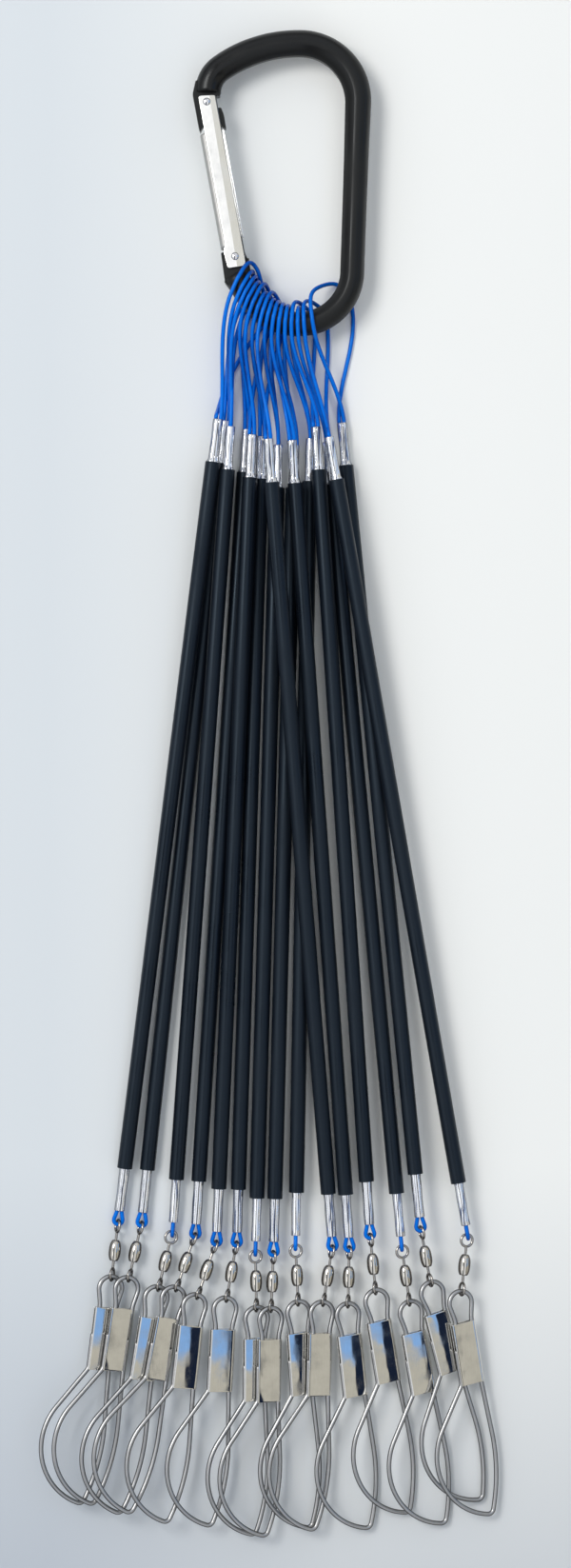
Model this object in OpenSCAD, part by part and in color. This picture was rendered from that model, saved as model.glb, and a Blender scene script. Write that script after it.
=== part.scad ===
// Fish stringer: a carabiner that carries fifteen leader lines, each with a
// swivel and a wire snap. It lies flat as it was laid out: +Y runs from the
// snaps up to the carabiner and +Z is up from the table.

/* [Carabiner] */
// Width of the bar, seen from above
bar_w = 6.7; // [6:0.1:7.4]
// Depth of the bar, from table side to top side
bar_t = 6.8; // [6.6:0.1:7.4]
// Straight leg next to the gate's pivot
leg_l = 5.9; // [5.4:0.1:6.4]
// Radius of the bend after that leg
heel_r = 15.8; // [15.4:0.1:16.2]
// Radius of the bend up into the long side
toe_r = 13.9; // [13.5:0.1:14.3]
// Straight long side opposite the gate
spine_l = 44.4; // [44:0.1:45]
// Radius of the upper corner
crown_r = 15.2; // [14.8:0.1:15.6]
// Radius of the flat arch over the top
brow_r = 35.9; // [35:0.1:36.8]
// Radius of the last bend down to the gate
nose_r = 7.6; // [7.4:0.1:8]
// Distance between the gate's two pins
gate_l = 41.1; // [40.5:0.1:41.3]
// Width of the gate channel
gate_w = 6.4; // [6:0.1:6.6]
// Thickness of the gate's sheet metal
gate_wall = 0.8; // [0.6:0.05:0.9]
// Thickness of the two tongues that the gate closes over
tongue_t = 3.2; // [2.8:0.1:3.3]
// Diameter of the pivot rivet and the latch pin
rivet_d = 1.6; // [1.4:0.1:1.8]
// Wire of the gate's return spring
gate_wire_d = 0.35; // [0.3:0.01:0.4]

/* [Leaders] */
// Diameter of the blue coated cable
cable_d = 1.1; // [1:0.05:1.2]
// Length of a sleeve tube
tube_l = 187; // [180:0.5:195]
// Outer diameter of a sleeve tube
tube_d = 4; // [3.8:0.05:4.1]
// Bore of a sleeve tube
tube_bore = 2.8; // [2.75:0.05:2.9]
// Diameter of a crimp
crimp_d = 2.7; // [2.6:0.05:2.7]
// Length of a crimp that shows
crimp_l = 11.3; // [10:0.1:13]
// Radius of the small loop that holds a swivel
eye_loop_r = 1.15; // [1.1:0.05:1.3]

/* [Swivels] */
// Diameter of a barrel
barrel_d = 3.2; // [3:0.1:3.4]
// Length of a barrel
barrel_l = 5.5; // [5.2:0.1:6]
// Wire of a swivel's eyes
eye_wire_d = 0.7; // [0.6:0.05:0.75]
// Radius of a swivel's eyes, to the middle of the wire
eye_r = 1.6; // [1.55:0.05:1.8]
// Distance from the barrel's middle to the middle of an eye
eye_reach = 6.4; // [6:0.1:7]

/* [Snaps] */
// Wire of a snap
snap_wire_d = 1.2; // [1.1:0.05:1.25]
// Width of the clasp
clasp_w = 7; // [6.8:0.1:7.4]
// Length of the clasp
clasp_l = 16.4; // [15:0.1:18]
// Sheet metal of the clasp
clasp_wall = 0.3; // [0.25:0.01:0.35]
// Radius of the arch that hangs on the swivel
arch_r = 3.15; // [3:0.05:3.3]
// Straight stretch of the leg below the clasp
shin_l = 13.5; // [12.5:0.1:14]
// Radius of the leg's slight bow
calf_r = 51; // [48:1:54]
// Radius of the tight bend at the tip
tip_r = 1.8; // [1.6:0.05:2]
// Radius of the wide belly
belly_r = 16; // [15:0.1:17]

/* [Layout] */
// Distance from the first clasp to the last
fan_w = 93.5; // [92:0.5:110]
// Rise of the outer clasps above the middle ones
fan_drop = 8.5; // [7:0.5:10]
// Distance from the first sleeve top to the last
bundle_w = 35.5; // [35:0.5:40]
// Gap between neighbouring snaps in the pile
snap_gap = 0.3; // [0.3:0.05:0.5]

/* [Hidden] */
$fn = 32;
lines = 15;
function two(k) = k < 10 ? str("0", k) : str(k);

// Clearances: a running fit, a seat in one body and a free gap
fit = 0.05;
seat = 0.04;
gap = 0.3;
eps_cut = 1;

// Where the carabiner's lowest bend and the first clasp lie
heel_x = 7.73;
heel_y = 120.84;
fan_x = -45.97;
fan_y = -137.16;
bundle_x = -15.17;
bundle_y = 81.84;

// Angles of the carabiner's outline
gate_lean = 10.4;
leg_turn = 57.5;
toe_turn = 88;
crown_turn = 91.4;
brow_turn = 35.5;
nose_turn = 57.1;
pivot_lean = 2.3;

// Angles of the snap's outline, and of its play
arch_flare = 12;
flare_r = 8;
shin_lean = 3;
calf_turn = 23;
tip_turn = 50;
belly_start = 165;
latch_slope = 55;
kink_r = 2;
tilt = 20;

// Places in the layout, line by line from left to right
snap_x_shares = [0, 0.045, 0.127, 0.174, 0.237, 0.326, 0.418, 0.457,
                 0.540, 0.600, 0.681, 0.765, 0.862, 0.926, 1];
snap_y_shares = [0, 0, 0.28, 0.26, 0.53, 0.67, 1, 1,
                 0.84, 0.81, 0.92, 0.51, 0.86, 0.26, 0.53];
top_x_shares = [0, 0.063, 0.116, 0.239, 0.285, 0.363, 0.486, 0.606,
                0.725, 0.437, 0.609, 0.792, 0.873, 1, 0.912];
// Height of each sleeve's upper end, in sleeve diameters
pile_shares = [1.75, 0.54, 1.65, 0.54, 1.65, 0.54, 0.54, 0.54,
               0.54, 3.4, 2.1, 1.65, 0.54, 0.54, 2.25];
// Lean of each snap and of each swivel, in degrees from the long axis
snap_lean = [-7.5, -8.8, -9.5, -11.4, -7, -3.4, 0, -0.8, 4, -1.6, 6.8, 9.9, 10.4, 15, 9.7];
swivel_lean = [-6.8, -13.3, -14.7, -20, -20, -10.5, 1, -2.5, 2.8, -9.6, -1.4, 6, 8.6, 10.7, -6.2];
// 1 where the small loop shows edge-on
edge_on = [0, 0, 1, 0, 0, 0, 1, 0, 1, 0, 0, 0, 1, 0, 1];
// Turn of each swivel's lower eye about its own axis, in degrees from upright
lower_roll = [-34, -34, -34, -34, -34, -34, -34, -34, -34, -34, -34, -34, -34, 0, 0];

// Worked-out sizes of the pile
cable_r = cable_d / 2;
wire_r = snap_wire_d / 2;
clasp_t = snap_wire_d + 2 * fit + 2 * clasp_wall;
slab_step = clasp_t + snap_gap;
hang = eye_r - eye_wire_d / 2 - wire_r - fit * 3;

// A path is a start point, a start angle and steps of [length, 0] for a
// straight and [radius, turn] for a bend, with left turns positive.
function turned(p, a, r, t) =
    let (s = t > 0 ? 1 : -1, c = p + r * s * [-sin(a), cos(a)])
    c + r * s * [sin(a + t), -cos(a + t)];
function next_point(p, a, step) =
    step[1] == 0 ? p + step[0] * [cos(a), sin(a)] : turned(p, a, step[0], step[1]);
function path_state(p, a, steps, k) =
    k == 0 ? [p, a]
    : let (q = path_state(p, a, steps, k - 1))
      [next_point(q[0], q[1], steps[k - 1]), q[1] + steps[k - 1][1]];

// One step of a path, drawn with the children as its section, whose own left
// side is the path's outer side. Every other step is a hair thinner and runs
// a little way into its neighbours, so that the steps join as one solid.
lap = 0.05;
thinner = 0.01;
module straight_piece(p, a, l, lap)
    translate([p[0], p[1], 0]) rotate([0, 0, a]) rotate([90, 0, 90])
        translate([0, 0, -lap]) linear_extrude(l + 2 * lap) mirror([1, 0]) children();
module bend_piece(p, a, r, t, lap) {
    s = t > 0 ? 1 : -1;
    c = p + r * s * [-sin(a), cos(a)];
    more = lap / r * 180 / PI;
    start = t > 0 ? a - 90 : a + 90 + t;
    translate([c[0], c[1], 0]) rotate([0, 0, start - more])
        rotate_extrude(angle = abs(t) + 2 * more) translate([r, 0]) mirror([s > 0 ? 0 : 1, 0]) children();
}
module path_piece(p, a, steps, k, lap) {
    q = path_state(p, a, steps, k);
    if (steps[k][1] == 0) straight_piece(q[0], q[1], steps[k][0], lap) children();
    else bend_piece(q[0], q[1], steps[k][0], steps[k][1], lap) children();
}
module round_path(p, a, steps, r)
    for (k = [0:len(steps) - 1]) path_piece(p, a, steps, k, lap * (k % 2)) circle(r - thinner * (k % 2));

// Carabiner bar
bar_z = 2.4 * cable_d + bar_t / 2;
bar_steps = [[leg_l, 0], [heel_r, leg_turn], [toe_r, toe_turn], [spine_l, 0],
             [crown_r, crown_turn], [brow_r, brow_turn], [nose_r, nose_turn]];
leg_start = [heel_x - heel_r * sin(leg_turn) - leg_l * cos(leg_turn),
             heel_y + heel_r * (1 - cos(leg_turn)) + leg_l * sin(leg_turn)];
bar_end = path_state(leg_start, -leg_turn, bar_steps, len(bar_steps));

// The gate's own frame: origin on the pivot, +Y towards the latch pin
pivot_back = 3.2 * rivet_d;
pivot = leg_start + pivot_back * [-sin(pivot_lean), cos(pivot_lean)];
plate_gap = 0.25;
gate_h = tongue_t + 2 * plate_gap + 2 * gate_wall;
tongue_w = gate_w * 1.25;
pivot_round = tongue_w / 2;
tongue_l = 2 * tongue_w;
hook_l = 5.4 * rivet_d;

module in_gate() translate([pivot[0], pivot[1], bar_z]) rotate([0, 0, gate_lean]) children();

// Round bar with two flats along the inside of the eye
module bar_profile(less)
    polygon([for (a = [0, 15, 30, 45, 60, 75, 90, 105, 162, 198, 255, 270, 285, 300, 315, 330, 345])
             [(bar_w / 2 - less) * cos(a), (bar_t / 2 - less) * sin(a)]]);
module bar() translate([0, 0, bar_z])
    for (k = [0:len(bar_steps) - 1])
        path_piece(leg_start, -leg_turn, bar_steps, k, lap * (k % 2)) bar_profile(thinner * (k % 2));

// Lower tongue: a round ear on the pivot, with its neck let into the bar
module pivot_tongue() in_gate() difference() {
    union() {
        translate([0, 0, -tongue_t / 2]) cylinder(r = pivot_round, h = tongue_t);
        rotate([0, 0, 180 + pivot_lean - gate_lean]) translate([-pivot_round * 0.8, 0, -tongue_t / 2])
            cube([pivot_round * 1.6, pivot_back + bar_w / 4, tongue_t]);
    }
    translate([0, 0, -tongue_t]) cylinder(d = rivet_d + 2 * seat, h = 2 * tongue_t);
}

// Upper tongue: a plate with a slot that opens into the eye
bar_end_y = (bar_end[0] - pivot) * [-sin(gate_lean), cos(gate_lean)];
latch_room = bar_end_y - gate_l;
module latch_tongue() in_gate() difference() {
    translate([-tongue_w / 2, gate_l - hook_l + rivet_d, -tongue_t / 2])
        cube([tongue_w, hook_l - rivet_d + latch_room + bar_w / 5, tongue_t]);
    translate([0, gate_l, -tongue_t]) cylinder(d = rivet_d + 2 * gap, h = 2 * tongue_t);
    translate([0, gate_l - rivet_d * 1.2, -tongue_t])
        cube([tongue_w, rivet_d * 1.2 + rivet_d / 2 + gap, 2 * tongue_t]);
}

module carabiner_frame() color([0.09, 0.09, 0.1]) union() {
    bar();
    pivot_tongue();
    latch_tongue();
}

// Rivet that carries the gate
head_h = 0.35;
head_d = 1.5 * rivet_d;
module pin_with_heads(shank_d) {
    h = gate_h / 2 + seat;
    translate([0, 0, -h - seat]) cylinder(d = shank_d, h = 2 * h + 2 * seat);
    for (m = [0, 1]) mirror([0, 0, m]) translate([0, 0, h]) {
        cylinder(d = head_d, h = head_h / 2);
        translate([0, 0, head_h / 2]) cylinder(d1 = head_d, d2 = head_d / 2, h = head_h / 2);
    }
}
module gate_pivot_rivet() color([0.8, 0.8, 0.82]) in_gate() pin_with_heads(rivet_d);

// Gate: two plates joined by a closed outer side
gate_tail = 1.9 * rivet_d;
gate_tip = 1.1 * rivet_d;
plate_w = 0.72 * gate_w;
side_x = -0.58 * gate_w;
side_from = pivot_round + gap;
side_to = gate_l - hook_l + rivet_d - 2 * gap;
module gate_plate(z) translate([0, 0, z]) linear_extrude(gate_wall) union() {
    translate([-plate_w / 2, -gate_tail]) square([plate_w, gate_l + gate_tail + gate_tip]);
    translate([side_x + gate_wall, side_from]) square([gate_w - gate_wall, side_to - side_from]);
}
module gate_channel() color([0.85, 0.85, 0.86]) in_gate() difference() {
    union() {
        gate_plate(gate_h / 2 - gate_wall);
        gate_plate(-gate_h / 2);
        translate([side_x, side_from, -gate_h / 2 + gate_wall / 2])
            cube([gate_wall, side_to - side_from, gate_h - gate_wall]);
        for (m = [0, 1]) mirror([0, 0, m])
            translate([side_x + gate_wall, side_from, gate_h / 2 - gate_wall]) rotate([-90, 0, 0])
                cylinder(r = gate_wall, h = side_to - side_from);
    }
    translate([0, 0, -gate_h]) cylinder(d = rivet_d + 2 * fit, h = 2 * gate_h);
    translate([0, gate_l, -gate_h]) cylinder(d = rivet_d + 2 * seat, h = 2 * gate_h);
}
module gate_latch_pin() color([0.8, 0.8, 0.82]) in_gate() translate([0, gate_l, 0])
    pin_with_heads(rivet_d);

// Return spring and plunger inside the channel
plunger_d = 0.75 * tongue_t;
plunger_from = pivot_round + gap;
plunger_l = 3.4 * tongue_t;
spring_turns = 12;
spring_l = 3.2 * tongue_t;
spring_r = plunger_d / 2;
spring_from = plunger_from + plunger_l + gate_wire_d / 2 + seat;
module gate_plunger() color([0.75, 0.75, 0.77]) in_gate() translate([0, plunger_from, 0])
    rotate([-90, 0, 0]) union() {
        cylinder(d1 = 0.6 * plunger_d, d2 = plunger_d, h = 0.3 * plunger_d);
        translate([0, 0, 0.3 * plunger_d]) cylinder(d = plunger_d, h = plunger_l - 0.3 * plunger_d);
        translate([0, 0, 0.8 * plunger_l]) cylinder(d = tongue_t, h = 0.2 * plunger_l);
    }

// A tube swept through points: rings square to the path, joined by triangles
function unit(v) = v / norm(v);
function way(pts, k) =
    let (n = len(pts) - 1)
    unit(k == 0 ? pts[1] - pts[0] : k == n ? pts[n] - pts[n - 1] : pts[k + 1] - pts[k - 1]);
function carried(side, w) = unit(side - (side * w) * w);
function sides_along(pts, k) =
    k == 0 ? let (w = way(pts, 0)) [carried(abs(w[2]) > 0.9 ? [1, 0, 0] : [0, 0, 1], w)]
    : let (done = sides_along(pts, k - 1)) concat(done, [carried(done[k - 1], way(pts, k))]);
module swept_tube(pts, r, sides) {
    n = len(pts);
    side = sides_along(pts, n - 1);
    rings = [for (k = [0:n - 1]) let (w = way(pts, k), up = cross(w, side[k]))
             for (m = [0:sides - 1]) let (a = 360 * m / sides)
             pts[k] + r * (cos(a) * side[k] + sin(a) * up)];
    walls = [for (k = [0:n - 2]) for (m = [0:sides - 1])
             let (a = k * sides + m, b = k * sides + (m + 1) % sides)
             for (f = [[a, b, a + sides], [b, b + sides, a + sides]]) f];
    ends = concat([for (m = [1:sides - 2]) [0, m + 1, m]],
                  [for (m = [1:sides - 2]) let (z = (n - 1) * sides) [z, z + m, z + m + 1]]);
    polyhedron(points = rings, faces = [for (f = concat(walls, ends)) [f[0], f[2], f[1]]]);
}
spring_pts = [for (k = [0:spring_turns * 8])
              [spring_r * cos(45 * k), spring_from + spring_l * k / (8 * spring_turns), spring_r * sin(45 * k)]];
spring_gap = min([for (k = [0:7]) for (m = [k + 6:k + 11]) norm(spring_pts[m] - spring_pts[k])]) - gate_wire_d;
echo(spring_gap = spring_gap);
module gate_spring() color([0.7, 0.7, 0.72]) in_gate() swept_tube(spring_pts, gate_wire_d / 2, 6);

// Snap outline in its own plane: origin at the clasp's upper left corner
leg_left = clasp_w * 0.2;
leg_right = clasp_w * 0.86;
half_span = (leg_right - leg_left) / 2;
arch_rise = (arch_r * cos(arch_flare) - half_span - flare_r * (1 - cos(arch_flare))) / sin(arch_flare);
stub_l = clasp_l * 0.4;
arch_centre = [(leg_left + leg_right) / 2,
               flare_r * sin(arch_flare) + arch_rise * cos(arch_flare) + arch_r * sin(arch_flare)];
ball_r = wire_r + fit;
cup_r = ball_r + fit * 1.5;
leg_steps = [[stub_l, 0], [flare_r, arch_flare], [arch_rise, 0],
             [arch_r, -180 - 2 * arch_flare], [arch_rise, 0], [flare_r, arch_flare],
             [clasp_l, 0], [flare_r, shin_lean], [shin_l, 0], [calf_r, -calf_turn]];
leg_from = [leg_left, -stub_l];
leg_end = path_state(leg_from, 90, leg_steps, len(leg_steps));
knuckle = leg_end[0] + cup_r * [cos(leg_end[1]), sin(leg_end[1])];
arm_turn = belly_start - latch_slope;
belly_from = path_state(knuckle, belly_start + tip_turn, [[tip_r, -tip_turn]], 1)[0];
belly_to = turned(belly_from, belly_start, belly_r, -arm_turn);
latch_x = clasp_w * 0.06;
kink_dx = kink_r * (1 - sin(latch_slope));
brace_l = (latch_x - kink_dx - belly_to[0]) / cos(latch_slope);
arm_steps = [[tip_r, -tip_turn], [belly_r, -arm_turn], [brace_l, 0], [kink_r, 90 - latch_slope]];
kink_end = path_state(knuckle, belly_start + tip_turn, arm_steps, 4)[0];
latch_end_y = -stub_l - gap - wire_r;
latch_l = latch_end_y - kink_end[1];

// Reach of a snap to its right, with its lean, to rest it on the table
leg_marks = [[arch_centre[0] + arch_r, arch_centre[1]], [clasp_w, 0], [clasp_w, -clasp_l],
             path_state(leg_from, 90, leg_steps, 9)[0],
             path_state(leg_from, 90, concat([for (k = [0:8]) leg_steps[k]],
                        [[calf_r, -calf_turn / 2]]), 10)[0], leg_end[0]];
function reach(k) = max([for (m = leg_marks) m[0] * cos(snap_lean[k]) - m[1] * sin(snap_lean[k])]) + wire_r;
function snap_px(k) = fan_x + fan_w * snap_x_shares[k];
function snap_py(k) = fan_y - fan_drop * snap_y_shares[k];

// Each snap lies on a slope. Its level is set by the snap to its left, by the
// table under its right side, and by the sleeve that its swivel leads to.
function turn2(p, a) = [p[0] * cos(a) - p[1] * sin(a), p[0] * sin(a) + p[1] * cos(a)];
function swivel_way(k) = [-sin(swivel_lean[k]), cos(swivel_lean[k])];
chain_l = arch_r + hang + 2 * eye_reach + eye_r;
function top_eye_in(k) = turn2(arch_centre, snap_lean[k]) + chain_l * swivel_way(k);
sleeve_floor = tube_d / 2 + fit;
function rest_level(k) = max(
    snap_px(k) * sin(tilt) + reach(k) * sin(tilt) * cos(tilt) + clasp_t / 2 * pow(cos(tilt), 2),
    sleeve_floor * cos(tilt) + (snap_px(k) + top_eye_in(k)[0] * cos(tilt)) * sin(tilt));
function level(k) = k == 0 ? rest_level(0) : max(level(k - 1) + slab_step, rest_level(k));
levels = [for (k = [0:lines - 1]) level(k)];
function plane_x(k) = (snap_px(k) - levels[k] * sin(tilt)) / cos(tilt);

// From a place measured from the clasp, in the snap's plane, to the part's frame
function lifted(k, p) = let (x = plane_x(k) + p[0])
    [x * cos(tilt) + levels[k] * sin(tilt), snap_py(k) + p[1], -x * sin(tilt) + levels[k] * cos(tilt)];
module in_plane(k) rotate([0, tilt, 0]) translate([plane_x(k), snap_py(k), levels[k]]) children();
module at_snap(k) in_plane(k) rotate([0, 0, snap_lean[k]]) children();
module at_swivel(k, s) in_plane(k)
    translate(concat(turn2(arch_centre, snap_lean[k]) + s * swivel_way(k), [0]))
    rotate([0, 0, swivel_lean[k]]) children();

// A leader runs straight towards the bundle's top. Its origin is in the wire of
// its swivel's top eye, which its own small loop is round.
function top_eye(k) = lifted(k, top_eye_in(k));
function bundle_top(k) = [bundle_x + bundle_w * top_x_shares[k], bundle_y, tube_d * pile_shares[k]];
function lead_way(k) = unit(bundle_top(k) - top_eye(k));
bore_x = cable_r + seat + fit / 2;
eye_neck_turn = 14.5;
eye_neck_r = 2 * cable_d;
neck_l = (eye_loop_r * cos(eye_neck_turn) - bore_x - eye_neck_r * (1 - cos(eye_neck_turn)))
         / sin(eye_neck_turn);
crimp_from = (eye_loop_r + eye_neck_r) * sin(eye_neck_turn) + neck_l * cos(eye_neck_turn);
tube_from = crimp_from + crimp_l;
tube_to = tube_from + tube_l;
upper_to = tube_to + crimp_l;
crimp_in = crimp_d / 2;
function eye_roll(k) = edge_on[k] == 1 ? 90 : 0;
module at_leader(k) let (e = top_eye(k), w = lead_way(k))
    translate(e) rotate([0, 0, atan2(-w[0], w[1])]) rotate([asin(w[2]), 0, 0]) children();
function leader_point(k, x, y, z) = let (w = lead_way(k), a = atan2(-w[0], w[1]), b = asin(w[2]))
    top_eye(k) + x * [cos(a), sin(a), 0] + y * w + z * [sin(a) * sin(b), -cos(a) * sin(b), cos(b)];

// One cable: tail in the crimp, small loop round the swivel's eye, and core
// up through the sleeve to the upper crimp's mouth
cable_steps = [[crimp_l - gap, 0], [eye_neck_r, -eye_neck_turn], [neck_l, 0],
               [eye_loop_r, 180 + 2 * eye_neck_turn], [neck_l, 0], [eye_neck_r, -eye_neck_turn],
               [upper_to - crimp_from, 0]];
module leader_cable(k) at_leader(k) {
    rotate([0, eye_roll(k), 0]) round_path([-bore_x, tube_from - gap], -90, cable_steps, cable_r);
    rotate([0, eye_roll(k), 0]) translate([-bore_x, tube_to + gap, 0]) rotate([-90, 0, 0])
        cylinder(r = cable_r, h = crimp_l - gap);
}
module leader_cables() color([0.05, 0.3, 0.9]) for (k = [0:lines - 1]) leader_cable(k);

module bores(k, from, l) rotate([0, eye_roll(k), 0]) for (x = [-bore_x, bore_x])
    translate([x, from, 0]) rotate([-90, 0, 0]) cylinder(r = cable_r + seat, h = l);
module along(from) translate([0, from, 0]) rotate([-90, 0, 0]) children();
module lower_crimps() color([0.85, 0.86, 0.88]) for (k = [0:lines - 1]) at_leader(k) difference() {
    along(crimp_from) cylinder(d = crimp_d, h = crimp_l + crimp_in);
    bores(k, crimp_from - eps_cut, crimp_l + crimp_in + 2 * eps_cut);
}
rim_l = 0.3 * crimp_d;
rim_d = (tube_bore + tube_d) / 2;
module upper_crimps() color([0.85, 0.86, 0.88]) for (k = [0:lines - 1]) at_leader(k) difference() {
    union() {
        along(tube_to - crimp_in) cylinder(d = crimp_d, h = crimp_l + crimp_in);
        along(tube_to + seat) cylinder(d1 = rim_d, d2 = crimp_d, h = rim_l);
    }
    bores(k, tube_to - crimp_in - eps_cut, crimp_l + crimp_in + 2 * eps_cut);
}
module sleeve_tubes() color([0.07, 0.07, 0.08]) for (k = [0:lines - 1]) at_leader(k)
    along(tube_from) difference() {
        cylinder(d = tube_d, h = tube_l);
        translate([0, 0, -eps_cut]) cylinder(d = tube_bore, h = tube_l + 2 * eps_cut);
    }

// Swivels: two eyes whose heads turn inside one barrel
eye_wire_r = eye_wire_d / 2;
cavity_l = 0.62 * barrel_l;
head_r = 0.26 * barrel_d;
head_l = 0.14 * barrel_l;
barrel_top_r = 0.3 * barrel_d;
shank_from = cavity_l / 2 - head_l - fit * 2;
module swivel_eye() {
    along(shank_from) cylinder(r = head_r, h = head_l);
    along(shank_from) cylinder(r = eye_wire_r, h = eye_reach - eye_r - shank_from);
    translate([0, eye_reach, 0]) rotate([0, 90, 0]) rotate_extrude() translate([eye_r, 0]) circle(eye_wire_r);
}
module swivel_top_eyes() color([0.75, 0.75, 0.77]) for (k = [0:lines - 1])
    at_swivel(k, arch_r + hang + eye_reach) rotate([0, eye_roll(k), 0]) swivel_eye();
module swivel_bottom_eyes() color([0.75, 0.75, 0.77]) for (k = [0:lines - 1])
    at_swivel(k, arch_r + hang + eye_reach) mirror([0, 1, 0]) rotate([0, lower_roll[k], 0]) swivel_eye();
module swivel_barrel(k) color([0.7, 0.7, 0.72]) at_swivel(k, arch_r + hang + eye_reach)
    rotate([-90, 0, 0]) rotate_extrude() difference() {
        polygon([[0, -barrel_l / 2], [barrel_top_r, -barrel_l / 2], [barrel_d / 2, -barrel_l / 5],
                 [barrel_d / 2, barrel_l / 5], [barrel_top_r, barrel_l / 2], [0, barrel_l / 2]]);
        translate([-eps_cut, -barrel_l]) square([eps_cut + eye_wire_r + 1.6 * fit, 2 * barrel_l]);
        translate([-eps_cut, -cavity_l / 2]) square([eps_cut + head_r + 2 * fit, cavity_l]);
    }

// Snap: spring wire and clasp, and the arm that springs out of the clasp
arm_room = fit + gap / 2;
module snap_wire() difference() {
    round_path(leg_from, 90, leg_steps, wire_r);
    translate([knuckle[0], knuckle[1], 0]) sphere(cup_r);
}
module snap_clasp() difference() {
    translate([0, -clasp_l, -clasp_t / 2]) linear_extrude(clasp_t) square([clasp_w, clasp_l]);
    translate([leg_left, -clasp_l - eps_cut, -wire_r - fit])
        cube([leg_right - leg_left, clasp_l + 2 * eps_cut, snap_wire_d + 2 * fit]);
    for (x = [leg_left, leg_right]) translate([x, -clasp_l - eps_cut, 0]) rotate([-90, 0, 0])
        cylinder(r = wire_r + fit, h = clasp_l + 2 * eps_cut);
    translate([-eps_cut, -clasp_l - eps_cut, -wire_r - fit])
        cube([leg_left + eps_cut, clasp_l - stub_l + eps_cut, snap_wire_d + 2 * fit]);
    translate([-eps_cut, -clasp_l - eps_cut, -wire_r - arm_room])
        cube([latch_x + wire_r + gap + eps_cut, clasp_l - stub_l + eps_cut, snap_wire_d + 2 * arm_room]);
}
module snap_body(k) color([0.72, 0.72, 0.74]) at_snap(k) {
    snap_wire();
    snap_clasp();
}
module snap_arm(k) color([0.72, 0.72, 0.74]) at_snap(k) union() {
    round_path(knuckle, belly_start + tip_turn, concat(arm_steps, [[latch_l, 0]]), wire_r);
    translate([knuckle[0], knuckle[1], 0]) sphere(ball_r);
}

// Upper loops. Each cable goes from its crimp over the front of the bar, round
// its inner side and back under it. The fronts lie side by side at even steps
// along the bar. The backs lie in two layers, so that they can cross: some hang
// just below the bar, and some right down on the table. The rows hold, line by
// line: the front's place in steps; how far to the right the back lies, as a
// share of the bar's lower bends; and how far the turn stands out into the
// eye, the back hangs below the bar, and it sags on its way, in cable diameters.
front_from = 0.03;
front_step = 0.05;
loop_rows = [
    [0, 0.38, 1.4, 1.9, 40], [1.4, 0.06, 0.2, 0.6, 0], [2.4, 0.06, 0.2, 0.6, 0], [3.4, 0.06, 0.2, 0.6, 0],
    [4.5, 0.2, 1.4, 1.9, 11], [5.6, 0.12, 0.2, 0.6, 0], [7.6, 0.06, 0.2, 0.6, 0], [9.6, 0.06, 0.2, 0.6, 0],
    [10.6, 0.06, 0.2, 0.6, 0], [6.6, 0.2, 1.4, 1.9, 24], [8.6, 0.06, 0.2, 0.6, 0], [11.6, 0.2, 1.4, 1.9, 20],
    [12.6, 0.06, 0.2, 0.6, 0], [15, 0.4, 3.2, 1.9, 20], [13.6, 0.2, 1.4, 1.9, 20]];
loop_run = leg_l + heel_r * leg_turn * PI / 180 + toe_r * toe_turn / 2 * PI / 180;
function bar_place(s) =
    s < leg_l ? path_state(leg_start, -leg_turn, [[s, 0]], 1)
    : s < leg_l + heel_r * leg_turn * PI / 180
      ? path_state(leg_start, -leg_turn, [[leg_l, 0], [heel_r, (s - leg_l) / heel_r * 180 / PI]], 2)
      : path_state(leg_start, -leg_turn, [[leg_l, 0], [heel_r, leg_turn],
            [toe_r, (s - leg_l - heel_r * leg_turn * PI / 180) / toe_r * 180 / PI]], 3);
wrap_a = bar_w / 2 + cable_r + gap;
wrap_b = bar_t / 2 + cable_r + fit * 4;
wrap_span = 100;
wrap_last = 4;
wrap_step = 18;
function wrap_point(k, a) = let (
    row = loop_rows[k],
    q = bar_place(loop_run * (front_from + front_step * row[0] + row[1] * pow((1 - sin(a)) / 2, 2))),
    lean = q[1] / 2,
    out = (wrap_a * cos(a) + cable_d * row[2] * max(0, cos(a))) / cos(lean))
    concat(q[0] + out * [-sin(lean), cos(lean)],
           [bar_z + (a > 0 ? wrap_b : bar_t / 2 + cable_d * row[3]) * sin(a)]);
function blend3(a, b, c, d, t) =
    pow(1 - t, 3) * a + 3 * pow(1 - t, 2) * t * b + 3 * (1 - t) * t * t * c + t * t * t * d;
strand_steps = 7;
function mouth(k, side) = edge_on[k] == 1 ? leader_point(k, 0, upper_to, -side * bore_x)
                                          : leader_point(k, side * bore_x, upper_to, 0);
function strand(k, front) = let (
    side = front ? 1 : -1,
    m = mouth(k, side), w = wrap_point(k, side * wrap_span), l = norm(m - w) / 3,
    out = unit(w - wrap_point(k, side * (wrap_span - wrap_last))),
    sag = front ? 0 : cable_d * loop_rows[k][4])
    [for (j = [0:strand_steps]) let (t = j / strand_steps,
        p = blend3(m, m + l * lead_way(k), w + l * out, w, t))
        [p[0], p[1], max(p[2] - sag * t * (1 - t), cable_r)]];
function loop_pts(k) = let (f = strand(k, true), b = strand(k, false)) concat(
    [f[0], f[0] + cable_d * lead_way(k)],
    [for (j = [1:strand_steps]) f[j]],
    [for (a = [wrap_span - wrap_step:-wrap_step:-wrap_span + wrap_step]) wrap_point(k, a)],
    [for (j = [0:strand_steps - 1]) b[strand_steps - j]],
    [b[0] + cable_d * lead_way(k), b[0]]);
module upper_loops() color([0.05, 0.3, 0.9]) for (k = [0:lines - 1])
    swept_tube(loop_pts(k), cable_r, 8);

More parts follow.
